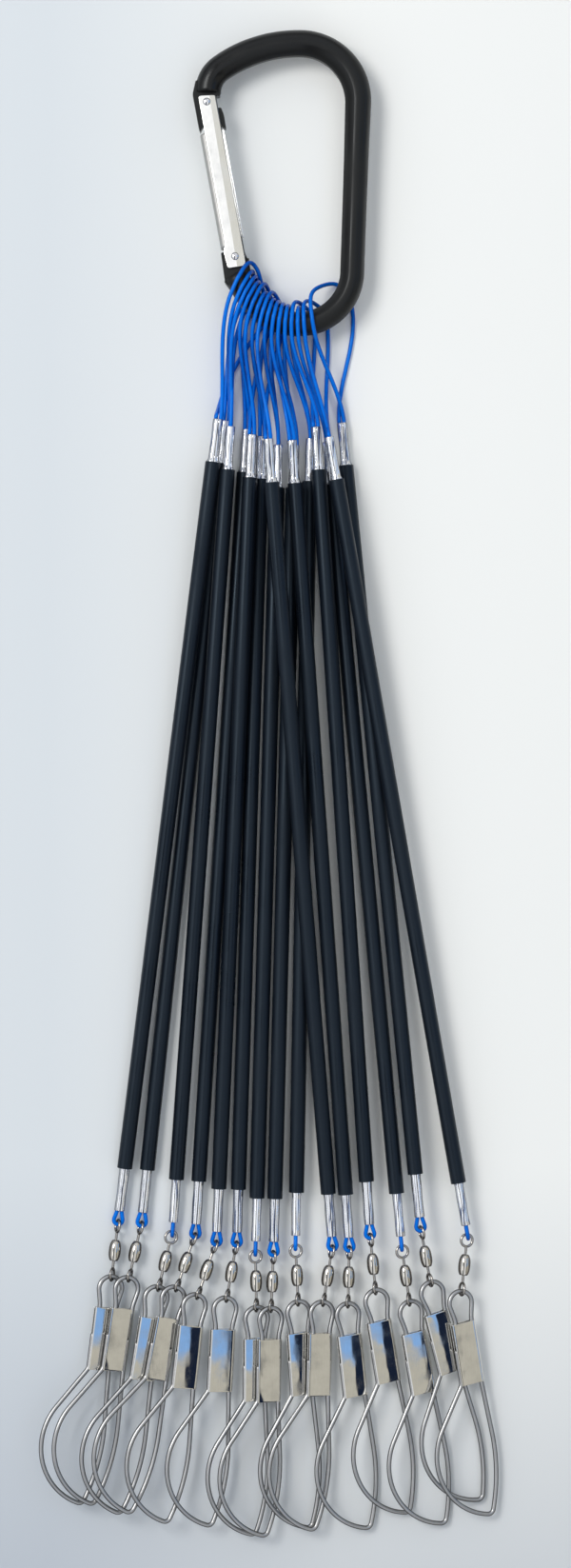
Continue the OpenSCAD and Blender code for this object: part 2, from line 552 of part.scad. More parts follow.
carabiner_frame();
gate_pivot_rivet();
gate_channel();
gate_latch_pin();
gate_plunger();
gate_spring();
upper_loops();
leader_cables();
upper_crimps();
sleeve_tubes();
lower_crimps();
swivel_top_eyes();
swivel_bottom_eyes();
for (k = [1:lines]) swivel_barrel(k - 1);
for (k = [1:lines]) snap_body(k - 1);
for (k = [1:lines]) snap_arm(k - 1);
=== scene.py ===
# %% [markdown]
# # A fish stringer in brushed steel, black tube and blue cable
# This lesson dresses a finished CAD model. The real object is a black
# carabiner from which many coated cables hang. Each cable runs through a black
# sleeve tube and carries a small swivel and a wire snap. The CAD model gives
# every place and size, so each piece here is worked out from the same numbers
# and lands where its node is. Such hardware is measured in millimetres, so the
# lengths are too, and only new_piece turns them into metres.

# %% Load the frame
import bmesh
import bpy
import numpy as np
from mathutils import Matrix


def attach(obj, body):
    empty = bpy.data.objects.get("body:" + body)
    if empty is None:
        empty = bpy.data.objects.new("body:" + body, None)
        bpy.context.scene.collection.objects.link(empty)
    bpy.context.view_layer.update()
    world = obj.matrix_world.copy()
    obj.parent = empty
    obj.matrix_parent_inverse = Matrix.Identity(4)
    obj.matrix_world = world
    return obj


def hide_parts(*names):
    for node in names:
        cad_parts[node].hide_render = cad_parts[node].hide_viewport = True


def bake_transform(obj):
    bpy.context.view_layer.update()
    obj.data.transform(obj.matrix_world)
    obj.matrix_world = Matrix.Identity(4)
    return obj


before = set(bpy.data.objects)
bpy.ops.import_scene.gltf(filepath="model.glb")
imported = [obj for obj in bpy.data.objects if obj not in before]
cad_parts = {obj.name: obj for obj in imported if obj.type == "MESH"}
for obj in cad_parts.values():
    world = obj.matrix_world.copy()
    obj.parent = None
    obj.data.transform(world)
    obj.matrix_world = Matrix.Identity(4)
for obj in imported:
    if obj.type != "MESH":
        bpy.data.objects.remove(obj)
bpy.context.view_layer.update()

MM = 0.001
LINES = 15

# %% [markdown]
# ## Camera
# The photo looks straight down on the laid-out stringer. Four photo pixels
# make one millimetre, so the picture's height of 1647 pixels is about 412 mm. A
# long lens from high up keeps the edges free of strong perspective.

# %% Place the camera
PHOTO_H, PX_PER_MM, SENSOR = 1647, 4.0, 36.0
CAMERA_HEIGHT = 900.0
VIEW_X, VIEW_Y, VIEW_Z = 4.2, 0.2, 5.0

camera_data = bpy.data.cameras.new("camera")
camera_data.sensor_fit = "VERTICAL"
camera_data.sensor_height = SENSOR
camera_data.lens = SENSOR * (CAMERA_HEIGHT - VIEW_Z) / (PHOTO_H / PX_PER_MM)
camera_data.clip_start, camera_data.clip_end = 0.01, 20.0
camera = bpy.data.objects.new("camera", camera_data)
camera.location = (VIEW_X * MM, VIEW_Y * MM, CAMERA_HEIGHT * MM)
bpy.context.collection.objects.link(camera)
bpy.context.scene.camera = camera
bpy.context.scene.view_settings.view_transform = "Standard"
print("lens", round(camera_data.lens, 1), "mm")

# %% [markdown]
# ## The layout, worked out once
# The snaps lie on sloping planes, one beside the other like fallen dominoes.
# A line leaves its swivel's top eye and runs straight to the bundle under the
# carabiner. These are the source's own formulas, written for arrays with one
# entry per line.

# %% Sizes and tables of the layout
TILT = np.radians(20.0)
CABLE_R, WIRE_R, FIT, GAP, SEAT = 0.55, 0.6, 0.05, 0.3, 0.04
CABLE_D = 2 * CABLE_R
CLASP_W, CLASP_L, ARCH_R = 7.0, 16.4, 3.15
EYE_R, EYE_REACH, HANG = 1.6, 6.4, 0.5
CRIMP_L, CRIMP_D, TUBE_L, TUBE_D = 11.3, 2.7, 187.0, 4.0
SLAB_STEP, CLASP_T = 2.2, 1.9
FAN_X, FAN_Y, FAN_W, FAN_DROP = -45.97, -137.16, 93.5, 8.5
BUNDLE_X, BUNDLE_Y, BUNDLE_W = -15.17, 81.84, 35.5

snap_x = FAN_X + FAN_W * np.array([0, 0.045, 0.127, 0.174, 0.237, 0.326, 0.418, 0.457,
                                   0.540, 0.600, 0.681, 0.765, 0.862, 0.926, 1])
snap_y = FAN_Y - FAN_DROP * np.array([0, 0, 0.28, 0.26, 0.53, 0.67, 1, 1,
                                      0.84, 0.81, 0.92, 0.51, 0.86, 0.26, 0.53])
bundle = np.stack([
    BUNDLE_X + BUNDLE_W * np.array([0, 0.063, 0.116, 0.239, 0.285, 0.363, 0.486, 0.606,
                                    0.725, 0.437, 0.609, 0.792, 0.873, 1, 0.912]),
    np.full(LINES, BUNDLE_Y),
    TUBE_D * np.array([1.75, 0.54, 1.65, 0.54, 1.65, 0.54, 0.54, 0.54,
                       0.54, 3.4, 2.1, 1.65, 0.54, 0.54, 2.25])], axis=1)
snap_lean = np.radians([-7.5, -8.8, -9.5, -11.4, -7, -3.4, 0, -0.8, 4, -1.6, 6.8, 9.9, 10.4,
                        15, 9.7])
swivel_lean = np.radians([-6.8, -13.3, -14.7, -20, -20, -10.5, 1, -2.5, 2.8, -9.6, -1.4, 6,
                          8.6, 10.7, -6.2])
edge_on = np.array([0, 0, 1, 0, 0, 0, 1, 0, 1, 0, 0, 0, 1, 0, 1], bool)


# %% Paths made of straights and bends
def unit(a):
    """Flat vectors of length one at the angles a: (cos a, sin a)."""
    return np.stack([np.cos(a), np.sin(a)], axis=-1)


def left_of(a):
    """Flat vectors square to the angles a, on their left: (-sin a, cos a)."""
    return np.stack([-np.sin(a), np.cos(a)], axis=-1)


def normed(v):
    """Each vector divided by its length."""
    return v / np.linalg.norm(v, axis=-1, keepdims=True)


def path_points(start, heading, steps, spacing=0.4):
    """Points along a flat path. A step (l, 0) is a straight of length l; a step
    (r, t) is a bend of radius r that turns t degrees, left if positive. On a
    bend: start + r * (left of the first heading - left of the running one)."""
    p, a = np.array(start, float), np.radians(heading)
    runs = [p[None]]
    for size, turn in steps:
        if turn == 0:
            n = max(1, int(size / spacing))
            t = np.linspace(0, 1, n + 1)[1:, None]
            run = p + t * size * unit(a)
        else:
            s = np.sign(turn)
            arc = abs(np.radians(turn)) * size
            n = max(3, int(arc / spacing), int(abs(turn) / 6))
            h = a + np.linspace(0, 1, n + 1)[1:] * np.radians(turn)
            run = p + size * s * (left_of(a) - left_of(h))
            a = h[-1]
        p = run[-1]
        runs.append(run)
    return np.concatenate(runs), np.degrees(a)


def turned(points, angles):
    """Flat points turned about the origin: x cos - y sin, x sin + y cos."""
    c, s = np.cos(angles), np.sin(angles)
    return np.stack([points[..., 0] * c - points[..., 1] * s,
                     points[..., 0] * s + points[..., 1] * c], axis=-1)


def distance_along(points):
    """The length from the first point to each point."""
    return np.concatenate([[0], np.cumsum(np.linalg.norm(np.diff(points, axis=0), axis=1))])


def length_of(points):
    """Sum of the straight distances between neighbouring points."""
    return float(distance_along(points)[-1])


# %% The snap's outline
FLARE, FLARE_R, SHIN_L, SHIN_LEAN, CALF_R, CALF_TURN = 12, 8.0, 13.5, 3, 51.0, 23
TIP_R, TIP_TURN, BELLY_R, BELLY_START, LATCH_SLOPE, KINK_R = 1.8, 50, 16.0, 165, 55, 2.0
leg_left, leg_right, stub_l = CLASP_W * 0.2, CLASP_W * 0.86, CLASP_L * 0.4
half_span = (leg_right - leg_left) / 2
flare = np.radians(FLARE)
arch_rise = (ARCH_R * np.cos(flare) - half_span - FLARE_R * (1 - np.cos(flare))) / np.sin(flare)
arch_centre = np.array([(leg_left + leg_right) / 2, FLARE_R * np.sin(flare)
                        + arch_rise * np.cos(flare) + ARCH_R * np.sin(flare)])
leg_steps = [(stub_l, 0), (FLARE_R, FLARE), (arch_rise, 0), (ARCH_R, -180 - 2 * FLARE),
             (arch_rise, 0), (FLARE_R, FLARE), (CLASP_L, 0), (FLARE_R, SHIN_LEAN), (SHIN_L, 0),
             (CALF_R, -CALF_TURN)]
leg_from = ((leg_left, -stub_l), 90)
leg_points, leg_heading = path_points(*leg_from, leg_steps)
cup_r = WIRE_R + 2.5 * FIT
knuckle = leg_points[-1] + cup_r * unit(np.radians(leg_heading))
arm_turn = BELLY_START - LATCH_SLOPE
belly_from = path_points(knuckle, BELLY_START + TIP_TURN, [(TIP_R, -TIP_TURN)])[0][-1]
belly_to = path_points(belly_from, BELLY_START, [(BELLY_R, -arm_turn)])[0][-1]
slope = np.radians(LATCH_SLOPE)
latch_x = CLASP_W * 0.06
brace_l = (latch_x - KINK_R * (1 - np.sin(slope)) - belly_to[0]) / np.cos(slope)
kink_end = path_points(belly_to, LATCH_SLOPE, [(brace_l, 0), (KINK_R, 90 - LATCH_SLOPE)])[0][-1]
latch_l = -stub_l - GAP - WIRE_R - kink_end[1]
print("knuckle", knuckle.round(2), "latch", round(latch_l, 2), "mm")

# %% Levels of the sloping planes
calf_mid = path_points(*leg_from, leg_steps[:9] + [(CALF_R, -CALF_TURN / 2)])[0][-1]
shin_end = path_points(*leg_from, leg_steps[:9])[0][-1]
marks = np.array([[arch_centre[0] + ARCH_R, arch_centre[1]], [CLASP_W, 0], [CLASP_W, -CLASP_L],
                  shin_end, calf_mid, leg_points[-1]])
reach = turned(marks, snap_lean[:, None])[..., 0].max(axis=1) + WIRE_R
swivel_way = left_of(swivel_lean)
arch_at = turned(arch_centre, snap_lean)
eye_in = arch_at + (ARCH_R + HANG + 2 * EYE_REACH + EYE_R) * swivel_way
rest = np.maximum(
    snap_x * np.sin(TILT) + reach * np.sin(TILT) * np.cos(TILT) + CLASP_T / 2 * np.cos(TILT) ** 2,
    (TUBE_D / 2 + FIT) * np.cos(TILT) + (snap_x + eye_in[:, 0] * np.cos(TILT)) * np.sin(TILT))
# level k is the highest of rest[j] + (k - j) steps over all j up to k
steps_up = SLAB_STEP * np.arange(LINES)
levels = np.maximum.accumulate(rest - steps_up) + steps_up
plane_x = (snap_x - levels * np.sin(TILT)) / np.cos(TILT)


def lifted(k, flat, w=0.0):
    """From a snap's plane (from its clasp's corner, w above the plane) to the frame: slide
    by the plane's own x and level, then tilt about the long axis."""
    x, z = plane_x[k] + flat[..., 0], levels[k] + w
    return np.stack([x * np.cos(TILT) + z * np.sin(TILT), snap_y[k] + flat[..., 1],
                     -x * np.sin(TILT) + z * np.cos(TILT)], axis=-1)


top_eye = np.stack([lifted(k, eye_in[k]) for k in range(LINES)])
lead = normed(bundle - top_eye)
print("levels", levels.round(2))

# %% [markdown]
# ## Tubes
# Wire, cable and the carabiner's bar are each one outline carried along a path.
# One fixed reference keeps the outline from twisting, and is chosen so that the
# path never runs along it.


# %% Build meshes from arrays
def new_piece(name, points, faces, smooth=True):
    """A mesh object from an array of points in millimetres and a list of faces."""
    mesh = bpy.data.meshes.new(name)
    mesh.from_pydata((points * MM).tolist(), [], faces)
    mesh.polygons.foreach_set("use_smooth", np.full(len(mesh.polygons), smooth))
    mesh.update()
    piece = bpy.data.objects.new(name, mesh)
    bpy.context.collection.objects.link(piece)
    return piece


def grid_faces(rows, cols, first=0, close=True):
    """Quads between neighbouring rows of points; close joins the last column to the first."""
    r, c = np.meshgrid(np.arange(rows - 1), np.arange(cols if close else cols - 1), indexing="ij")
    n = (c + 1) % cols
    return first + np.stack([r * cols + c, r * cols + n, (r + 1) * cols + n, (r + 1) * cols + c],
                            axis=-1).reshape(-1, 4)


# %% Carry an outline along a path
def sweep(name, path, outline, reference=(0, 0, 1.0), scale=None, round_ends=0.0, widen=1.0):
    """Carries a closed outline (columns side, up) along the path. Side is the reference less
    its part along the tangent, up is tangent x side, and widen stretches the outline along up
    only. With round_ends the rings shrink as a half ball of that radius at both ends: cos
    along, sin across."""
    t = normed(np.gradient(path, axis=0))
    side = normed(reference - (t * reference).sum(1)[:, None] * t)
    up = np.cross(t, side) * np.reshape(widen, (-1, 1))
    scale = np.ones(len(path)) if scale is None else scale
    if round_ends:
        a = np.radians([8, 30, 55, 75])
        head = path[0] - t[0] * round_ends * np.cos(a)[:, None]
        tail = path[-1] + t[-1] * round_ends * np.cos(a[::-1])[:, None]
        path = np.concatenate([head, path, tail])
        scale = np.concatenate([scale[0] * np.sin(a), scale, scale[-1] * np.sin(a[::-1])])
        side, up = (np.pad(v, ((4, 4), (0, 0)), "edge") for v in (side, up))
    rings = (path[:, None] + scale[:, None, None] * (outline[None, :, :1] * side[:, None]
                                                     + outline[None, :, 1:] * up[:, None]))
    n, m = rings.shape[:2]
    faces = grid_faces(n, m).tolist() + [list(range(m))[::-1], list(range((n - 1) * m, n * m))]
    piece = new_piece(name, rings.reshape(-1, 3), faces)
    soft = np.arange(len(faces)) < len(faces) - (0 if round_ends else 2)
    piece.data.polygons.foreach_set("use_smooth", soft)
    uv = piece.data.uv_layers.new(name="along")
    loops = np.empty(len(piece.data.loops), np.int32)
    piece.data.loops.foreach_get("vertex_index", loops)
    place = np.stack([(loops % m) / m, distance_along(path)[loops // m]], axis=1)
    uv.data.foreach_set("uv", place.astype(np.float32).ravel())
    return piece


def circle(r, sides):
    """Points of a circle: r cos, r sin."""
    return r * unit(np.arange(sides) * 2 * np.pi / sides)

# %% [markdown]
# ## Upper cable loops
# Each coated cable leaves its crimp, climbs over the carabiner's bar, turns
# round it and comes back underneath to the same crimp. The path has three
# parts: a cubic up to the bar, half a turn round the bar's cross-section,
# and a cubic back. The half turn is wider and flatter on the slack
# loops. Each loop's length is measured and printed.

# %% The carabiner bar's line
HEEL_X, HEEL_Y = 7.73, 120.84
BAR_W, BAR_T = 6.7, 6.8
BAR_Z = 2.4 * CABLE_D + BAR_T / 2
LEG_L, HEEL_R, TOE_R, SPINE_L, CROWN_R, BROW_R, NOSE_R = 5.9, 15.8, 13.9, 44.4, 15.2, 35.9, 7.6
LEG_TURN, TOE_TURN, CROWN_TURN, BROW_TURN, NOSE_TURN = 57.5, 88.0, 91.4, 35.5, 57.1
leg_angle = np.radians(LEG_TURN)
leg_start = np.array([HEEL_X - HEEL_R * np.sin(leg_angle) - LEG_L * np.cos(leg_angle),
                      HEEL_Y + HEEL_R * (1 - np.cos(leg_angle)) + LEG_L * np.sin(leg_angle)])
# for each loop: the front's place in steps and the back's shift, as a share of the lower
# bends; then how far the turn stands out, the back hangs and it sags, in cable diameters
FRONT_FROM, FRONT_STEP = 0.03, 0.05
loop_rows = np.array([
    [0, 0.38, 1.4, 1.9, 40], [1.4, 0.06, 0.2, 0.6, 0], [2.4, 0.06, 0.2, 0.6, 0],
    [3.4, 0.06, 0.2, 0.6, 0], [4.5, 0.2, 1.4, 1.9, 11], [5.6, 0.12, 0.2, 0.6, 0],
    [7.6, 0.06, 0.2, 0.6, 0], [9.6, 0.06, 0.2, 0.6, 0], [10.6, 0.06, 0.2, 0.6, 0],
    [6.6, 0.2, 1.4, 1.9, 24], [8.6, 0.06, 0.2, 0.6, 0], [11.6, 0.2, 1.4, 1.9, 20],
    [12.6, 0.06, 0.2, 0.6, 0], [15, 0.4, 3.2, 1.9, 20], [13.6, 0.2, 1.4, 1.9, 20]])
heel_end = LEG_L + HEEL_R * leg_angle
loop_run = heel_end + TOE_R * np.radians(TOE_TURN) / 2
# degrees round the bar at which a strand ends, and from which and by which the turn goes
STRAND_END, WRAP_FROM, WRAP_STEP = 100, 82, 18
NECK_TURN, EYE_LOOP_R = np.radians(14.5), 1.15
bore_x = CABLE_R + SEAT + FIT / 2
neck_r = 2 * CABLE_D
neck_l = (EYE_LOOP_R * np.cos(NECK_TURN) - bore_x
          - neck_r * (1 - np.cos(NECK_TURN))) / np.sin(NECK_TURN)
crimp_from = (EYE_LOOP_R + neck_r) * np.sin(NECK_TURN) + neck_l * np.cos(NECK_TURN)
upper_to = crimp_from + 2 * CRIMP_L + TUBE_L


def bar_place(s):
    """Point and heading of the bar's centre line s millimetres from the gate's side, for an
    array of s: first the straight leg, then the heel's arc, then the toe's arc."""
    s = np.asarray(s, float)
    on_toe = s >= heel_end
    heading = np.where(on_toe, (s - heel_end) / TOE_R,
                       np.maximum(0, s - LEG_L) / HEEL_R - leg_angle)
    radius = np.where(on_toe, TOE_R, HEEL_R)
    centre = np.stack([0 * s + HEEL_X, HEEL_Y + radius], axis=1)
    return np.where((s >= LEG_L)[:, None], centre - radius[:, None] * left_of(heading),
                    leg_start + s[:, None] * unit(heading)), heading


# %% Route of a loop
def leader_place(k, x, y, z):
    """A point beside line k: x across, y along the line from its swivel's eye, z up."""
    w = lead[k]
    a, b = np.arctan2(-w[0], w[1]), np.arcsin(w[2])
    return (top_eye[k] + x * np.array([np.cos(a), np.sin(a), 0]) + y * w
            + z * np.array([np.sin(a) * np.sin(b), -np.cos(a) * np.sin(b), np.cos(b)]))


def wrap(k, degrees):
    """The turn round the bar: an ellipse of the bar's half sizes plus the cable, pushed into
    the eye by the slack, half-way between the bar's normal and straight up. At 90 degrees it
    is over the bar, at -90 under it. It shifts along the bar as ((1 - sin a) / 2) ** 2."""
    front, back, slack, drop = loop_rows[k, :4]
    a = np.radians(degrees)
    share = ((1 - np.sin(a)) / 2) ** 2
    place, heading = bar_place(loop_run * (FRONT_FROM + FRONT_STEP * front + back * share))
    lean = heading / 2
    u = ((BAR_W / 2 + CABLE_R + GAP) * np.cos(a)
         + CABLE_D * slack * np.maximum(0, np.cos(a))) / np.cos(lean)
    high = np.where(a > 0, BAR_T / 2 + CABLE_R + 4 * FIT, BAR_T / 2 + CABLE_D * drop)
    flat = place + u[:, None] * left_of(lean)
    return np.concatenate([flat, (BAR_Z + high * np.sin(a))[:, None]], axis=1)


def strand(k, front):
    """A cubic from the crimp's mouth to the bar, with end slopes along the line and
    square to the bar; some back strands sag down to the table, under the others."""
    side = 1 if front else -1
    mouth = (leader_place(k, 0, upper_to, -side * bore_x) if edge_on[k]
             else leader_place(k, side * bore_x, upper_to, 0))
    before, end = wrap(k, [side * (STRAND_END - 4), side * STRAND_END])
    out = normed(end - before)
    pull = np.linalg.norm(mouth - end) / 3
    t = np.linspace(0, 1, 8)[:, None]
    sag = 0 if front else CABLE_D * loop_rows[k, 4]
    p = ((1 - t) ** 3 * mouth + 3 * (1 - t) ** 2 * t * (mouth + pull * lead[k])
         + 3 * (1 - t) * t ** 2 * (end + pull * out) + t ** 3 * end)
    p[:, 2] = np.maximum(p[:, 2] - (sag * t * (1 - t))[:, 0], CABLE_R)
    return p


def loop_route(k):
    """The whole loop: mouth, front strand, turn round the bar, back strand, mouth."""
    f, b = strand(k, True), strand(k, False)[::-1]
    turn = wrap(k, np.arange(WRAP_FROM, -WRAP_FROM - 1, -WRAP_STEP))
    start, end = f[:1] + CABLE_D * lead[k], b[-1:] + CABLE_D * lead[k]
    return np.concatenate([f[:1], start, f[1:], turn, b[:-1], end, b[-1:]])


def smooth_curve(p, parts):
    """Catmull-Rom curve through the points: each span is the cubic whose end slopes are half
    the step between the neighbours on both sides."""
    q = np.concatenate([2 * p[:1] - p[1:2], p, 2 * p[-1:] - p[-2:-1]])
    a, b, c, d = q[:-3, None], q[1:-2, None], q[2:-1, None], q[3:, None]
    t = (np.arange(parts) / parts)[None, :, None]
    body = 0.5 * (2 * b + (c - a) * t + (2 * a - 5 * b + 4 * c - d) * t ** 2
                  + (3 * b - a - 3 * c + d) * t ** 3)
    return np.concatenate([body.reshape(-1, 3), p[-1:]])


loops = []
for k in range(LINES):
    route = smooth_curve(loop_route(k), 4)
    heading = bar_place([loop_run * (FRONT_FROM + FRONT_STEP * loop_rows[k, 0])])[1][0]
    piece = sweep(f"upper_loop_{k + 1:02d}", route, circle(CABLE_R, 14),
                  reference=(np.cos(heading), np.sin(heading), 0.0))
    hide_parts("upper_loops")
    loops.append(piece)
lengths = [length_of(loop_route(k)) for k in range(LINES)]
print("loops from", round(min(lengths), 1), "to", round(max(lengths), 1), "mm")

# %% [markdown]
# ## Crimps
# A crimp is a short soft metal sleeve, pressed over two cables. The press leaves a
# shallow groove between them, and the upper end at the black tube is flared. The
# section is a circle with two dents, r(a) = R (1 - d e^-(b/w)^2), where b is the
# angle from the dent's middle.

# %% Pressed sleeves
GROOVE, GROOVE_WIDTH, CRIMP_NECK = 0.13, 17, 0.97
a = np.radians(np.arange(0, 360, 8.0))
dent = np.exp(-((np.degrees(np.arcsin(np.abs(np.sin(a)))) - 90) / GROOVE_WIDTH) ** 2)
crimp_outline = CRIMP_D / 2 * ((1 - GROOVE * dent)[:, None] * unit(a))
tube_from, tube_to = crimp_from + CRIMP_L, crimp_from + CRIMP_L + TUBE_L
upper_rings = np.concatenate([tube_to + np.array([-0.4, 0.03, 0.25, 0.8]),
                              np.linspace(tube_to + 1.8, upper_to - 0.15, 8), [upper_to]])
lower_rings = np.concatenate([[crimp_from], np.linspace(crimp_from + 0.15, tube_from - 1, 8),
                              tube_from + np.array([-0.25, 0.5])])
crimps = []
for k in range(LINES):
    across = leader_place(k, *((0, 0, 1) if edge_on[k] else (1, 0, 0))) - top_eye[k]
    press = CRIMP_NECK * (1 + 0.035 * np.sin(np.linspace(0, 9, 9) + k))[1:]
    for name, rings, size in (
            ("upper_crimp", upper_rings, [0.98, 1.25, 1.22, 1.02, *press, 0.93]),
            ("lower_crimp", lower_rings, [0.93, *press, 1.02, 1.0])):
        route = np.array([leader_place(k, 0, far, 0) for far in rings])
        piece = sweep(f"{name}_{k + 1:02d}", route, crimp_outline, across, np.array(size))
        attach(piece, "lines")
        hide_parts(name + "s")
        crimps.append(piece)
print(len(crimps), "crimps")

# %% [markdown]
# ## Wire snaps
# A snap is one spring wire: up the left side, round the arch, down through the
# clasp, round the tip and up the wide belly to its latch end. The real one bends
# at the tip when it is opened. The joint's centre is there too, so the wire is
# made in two lengths that meet there with rounded ends.

# %% The wires
TIP_FIT_R, TIP_FIT_TURN, WIRE_STEP = 1.47, leg_heading - (BELLY_START - 360), 0.55
half_tip = [(TIP_FIT_R, -TIP_FIT_TURN / 2)]
arm_steps = [(BELLY_R, -arm_turn), (brace_l, 0), (KINK_R, 90 - LATCH_SLOPE), (latch_l, 0)]
body_line, half_heading = path_points(*leg_from, leg_steps + half_tip, WIRE_STEP)
arm_line, _ = path_points(body_line[-1], half_heading, half_tip + arm_steps, WIRE_STEP)
plane_normal = np.array([np.sin(TILT), 0, np.cos(TILT)])
wires = []
for k in range(LINES):
    for body, node, flat in (("snap", "snap_body", body_line), ("arm", "snap_arm", arm_line)):
        path = lifted(k, turned(flat, snap_lean[k]))
        piece = sweep(f"{body}_wire_{k + 1:02d}", path, circle(WIRE_R, 16), plane_normal,
                      round_ends=WIRE_R)
        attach(piece, f"{body}_{k + 1:02d}")
        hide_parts(f"{node}_{k + 1:02d}")
        wires.append(piece)
print("wire length", round(length_of(body_line) + length_of(arm_line), 1), "mm")

# %% [markdown]
# ## Clasps
# The clasp is a strip of sheet steel folded round both legs of the wire. Seen
# from the end it is a flat letter C, open on the left, where the latch end of
# the wire springs in and out. Its plates are a little convex, which is what
# spreads a reflection into bands on the real thing.


# %% A folded sheet
def sheet_solid(name, outer, inner):
    """A solid sheet between two grids of the same shape (rows, columns, 3): both grids as
    faces, the inner one turned round, and a strip round the rim."""
    n, m = outer.shape[:2]
    points = np.concatenate([outer.reshape(-1, 3), inner.reshape(-1, 3)])
    far = n * m
    front = grid_faces(n, m, close=False)
    back = grid_faces(n, m, far, close=False)[:, ::-1]
    rim = np.concatenate([np.arange(m), np.arange(2 * m - 1, n * m, m),
                          np.arange(n * m - 2, (n - 1) * m - 1, -1),
                          np.arange((n - 2) * m, 0, -m)])
    nxt = np.roll(rim, -1)
    strip = np.stack([nxt, rim, rim + far, nxt + far], axis=1)
    return new_piece(name, points, np.concatenate([front, back, strip]).tolist())


def clasp_outline(push, crown):
    """Cross-section from the lower left lip round the right-hand fold to the upper left lip:
    convex plates (a shallow cosine) joined by a half circle; push moves it inwards."""
    half = CLASP_T / 2 - push
    across = np.linspace(0.1, CLASP_W - CLASP_T / 2, 15)
    sag = crown * (np.cos((across / CLASP_W - 0.5) * np.pi) - 1)
    a = np.radians(np.linspace(-90, 90, 13)[1:-1])
    fold = [CLASP_W - CLASP_T / 2, 0] + [half, half + sag[-1]] * unit(a)
    lower = np.stack([across, -half - sag], axis=1)
    return np.concatenate([lower, fold, lower[::-1] * [1, -1]])


# %% Fold the clasps
def bevel_edges(piece, width, segments):
    """Rounds the edges where two faces meet at more than 50 degrees."""
    bevel = piece.modifiers.new("edge", "BEVEL")
    bevel.width, bevel.segments, bevel.limit_method = width * MM, segments, "ANGLE"
    bevel.angle_limit = np.radians(50)


clasps = []
rng = np.random.default_rng(15)
# five clasps are flatter and turned further, so each of them mirrors one colour only
FLATTER, BLUER, TOWARDS_EYE, SHEET = [1, 3, 7, 9, 14], [2, 5], 0.52, 0.3
crowns = rng.uniform(0.03, 0.13, LINES)
crowns[FLATTER] = 0.035
bows = rng.uniform(0.02, 0.1, LINES)
rolls = rng.uniform(-0.028, 0.028, LINES)
rolls[FLATTER] = [-0.1, -0.105, -0.095, -0.105, -0.1]
rolls[BLUER] += 0.03
rolls += TOWARDS_EYE * snap_x / CAMERA_HEIGHT
rows = np.array([0, 0.02, 0.1, 0.2, 0.35, 0.5, 0.65, 0.8, 0.9, 0.98, 1.0]) * -CLASP_L
for k in range(LINES):
    grids = []
    for push in (0.0, SHEET):
        section = clasp_outline(push, crowns[k])
        x, y = np.meshgrid(section[:, 0], rows)
        lift = (section[:, 1] + rolls[k] * (x - CLASP_W / 2)
                + bows[k] * (np.cos((y / CLASP_L + 0.5) * np.pi) - 1))
        grids.append(lifted(k, turned(np.stack([x, y], axis=-1), snap_lean[k]), lift))
    piece = sheet_solid(f"clasp_{k + 1:02d}", *grids)
    bevel_edges(piece, 0.07, 2)
    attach(piece, f"snap_{k + 1:02d}")
    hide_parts(f"snap_body_{k + 1:02d}")
    clasps.append(piece)
print("clasps", len(clasps))

# %% [markdown]
# ## Carabiner
# The bar is forged from round stock: nearly round outside, with two narrow flats
# along the inside of the eye. It swells a little at the upper bends, so the outline
# is widened there by a smooth curve through a few measured widths. The two tongues,
# which the gate closes over, are flat plates cut from an outline.

# %% The bar
BAR_STEP, RUN_ON, SMOOTHING = 0.7, 0.6, 25
bar_flat, _ = path_points(leg_start, -LEG_TURN, [
    (LEG_L, 0), (HEEL_R, LEG_TURN), (TOE_R, TOE_TURN), (SPINE_L, 0), (CROWN_R, CROWN_TURN),
    (BROW_R, BROW_TURN), (NOSE_R, NOSE_TURN)], BAR_STEP)
# the bar's end runs on under the gate's plates
bar_flat[0] -= RUN_ON * unit(-leg_angle)
bar_line = np.insert(bar_flat, 2, BAR_Z, axis=1)
bar_far = distance_along(bar_flat)
# width of the bar as a share of its nominal width, at shares of its length
width_places = [0, 0.1, 0.25, 0.5, 0.6, 0.68, 0.8, 0.92, 1]
width_shares = [0.98, 0.95, 0.97, 0.98, 1.04, 1.09, 1.05, 1.09, 1.02]
bar_widen = np.interp(bar_far / bar_far[-1], width_places, width_shares)
bar_widen = np.convolve(np.pad(bar_widen, SMOOTHING // 2, "edge"),
                        np.ones(SMOOTHING) / SMOOTHING, "valid")

# outline (depth, outwards): an ellipse from -105 to 105 degrees, then flats to 162 and 198;
# each corner is two points close together, so it stays crisp
a = np.radians([*np.linspace(-103.5, 103.5, 30), 106.5, 160.5, 163.5, 196.5, 199.5, 253.5])
squash = np.where(a > np.radians(104), 0.985, 1.0)
bar_outline = np.stack([BAR_T / 2 * np.sin(a), BAR_W / 2 * np.cos(a) * squash], axis=1)
bar = sweep("carabiner_bar", bar_line, bar_outline, widen=bar_widen)
print("bar", round(bar_far[-1], 1), "mm long")


# %% Plates cut from an outline
GATE_LEAN, PIVOT_LEAN, RIVET_D = np.radians(10.4), np.radians(2.3), 1.6
GATE_L, GATE_WALL, GATE_PLAY, TONGUE_T = 41.1, 0.8, 0.25, 3.2
pivot = leg_start + 3.2 * RIVET_D * left_of(PIVOT_LEAN)
gate_h = TONGUE_T + 2 * GATE_PLAY + 2 * GATE_WALL


def in_gate(points):
    """From the gate's frame (pivot at the origin, +Y to the latch pin) to the part's."""
    points = np.asarray(points, float)
    flat = turned(points[..., :2], GATE_LEAN) + pivot
    return np.concatenate([flat, points[..., 2:] + BAR_Z], axis=-1)


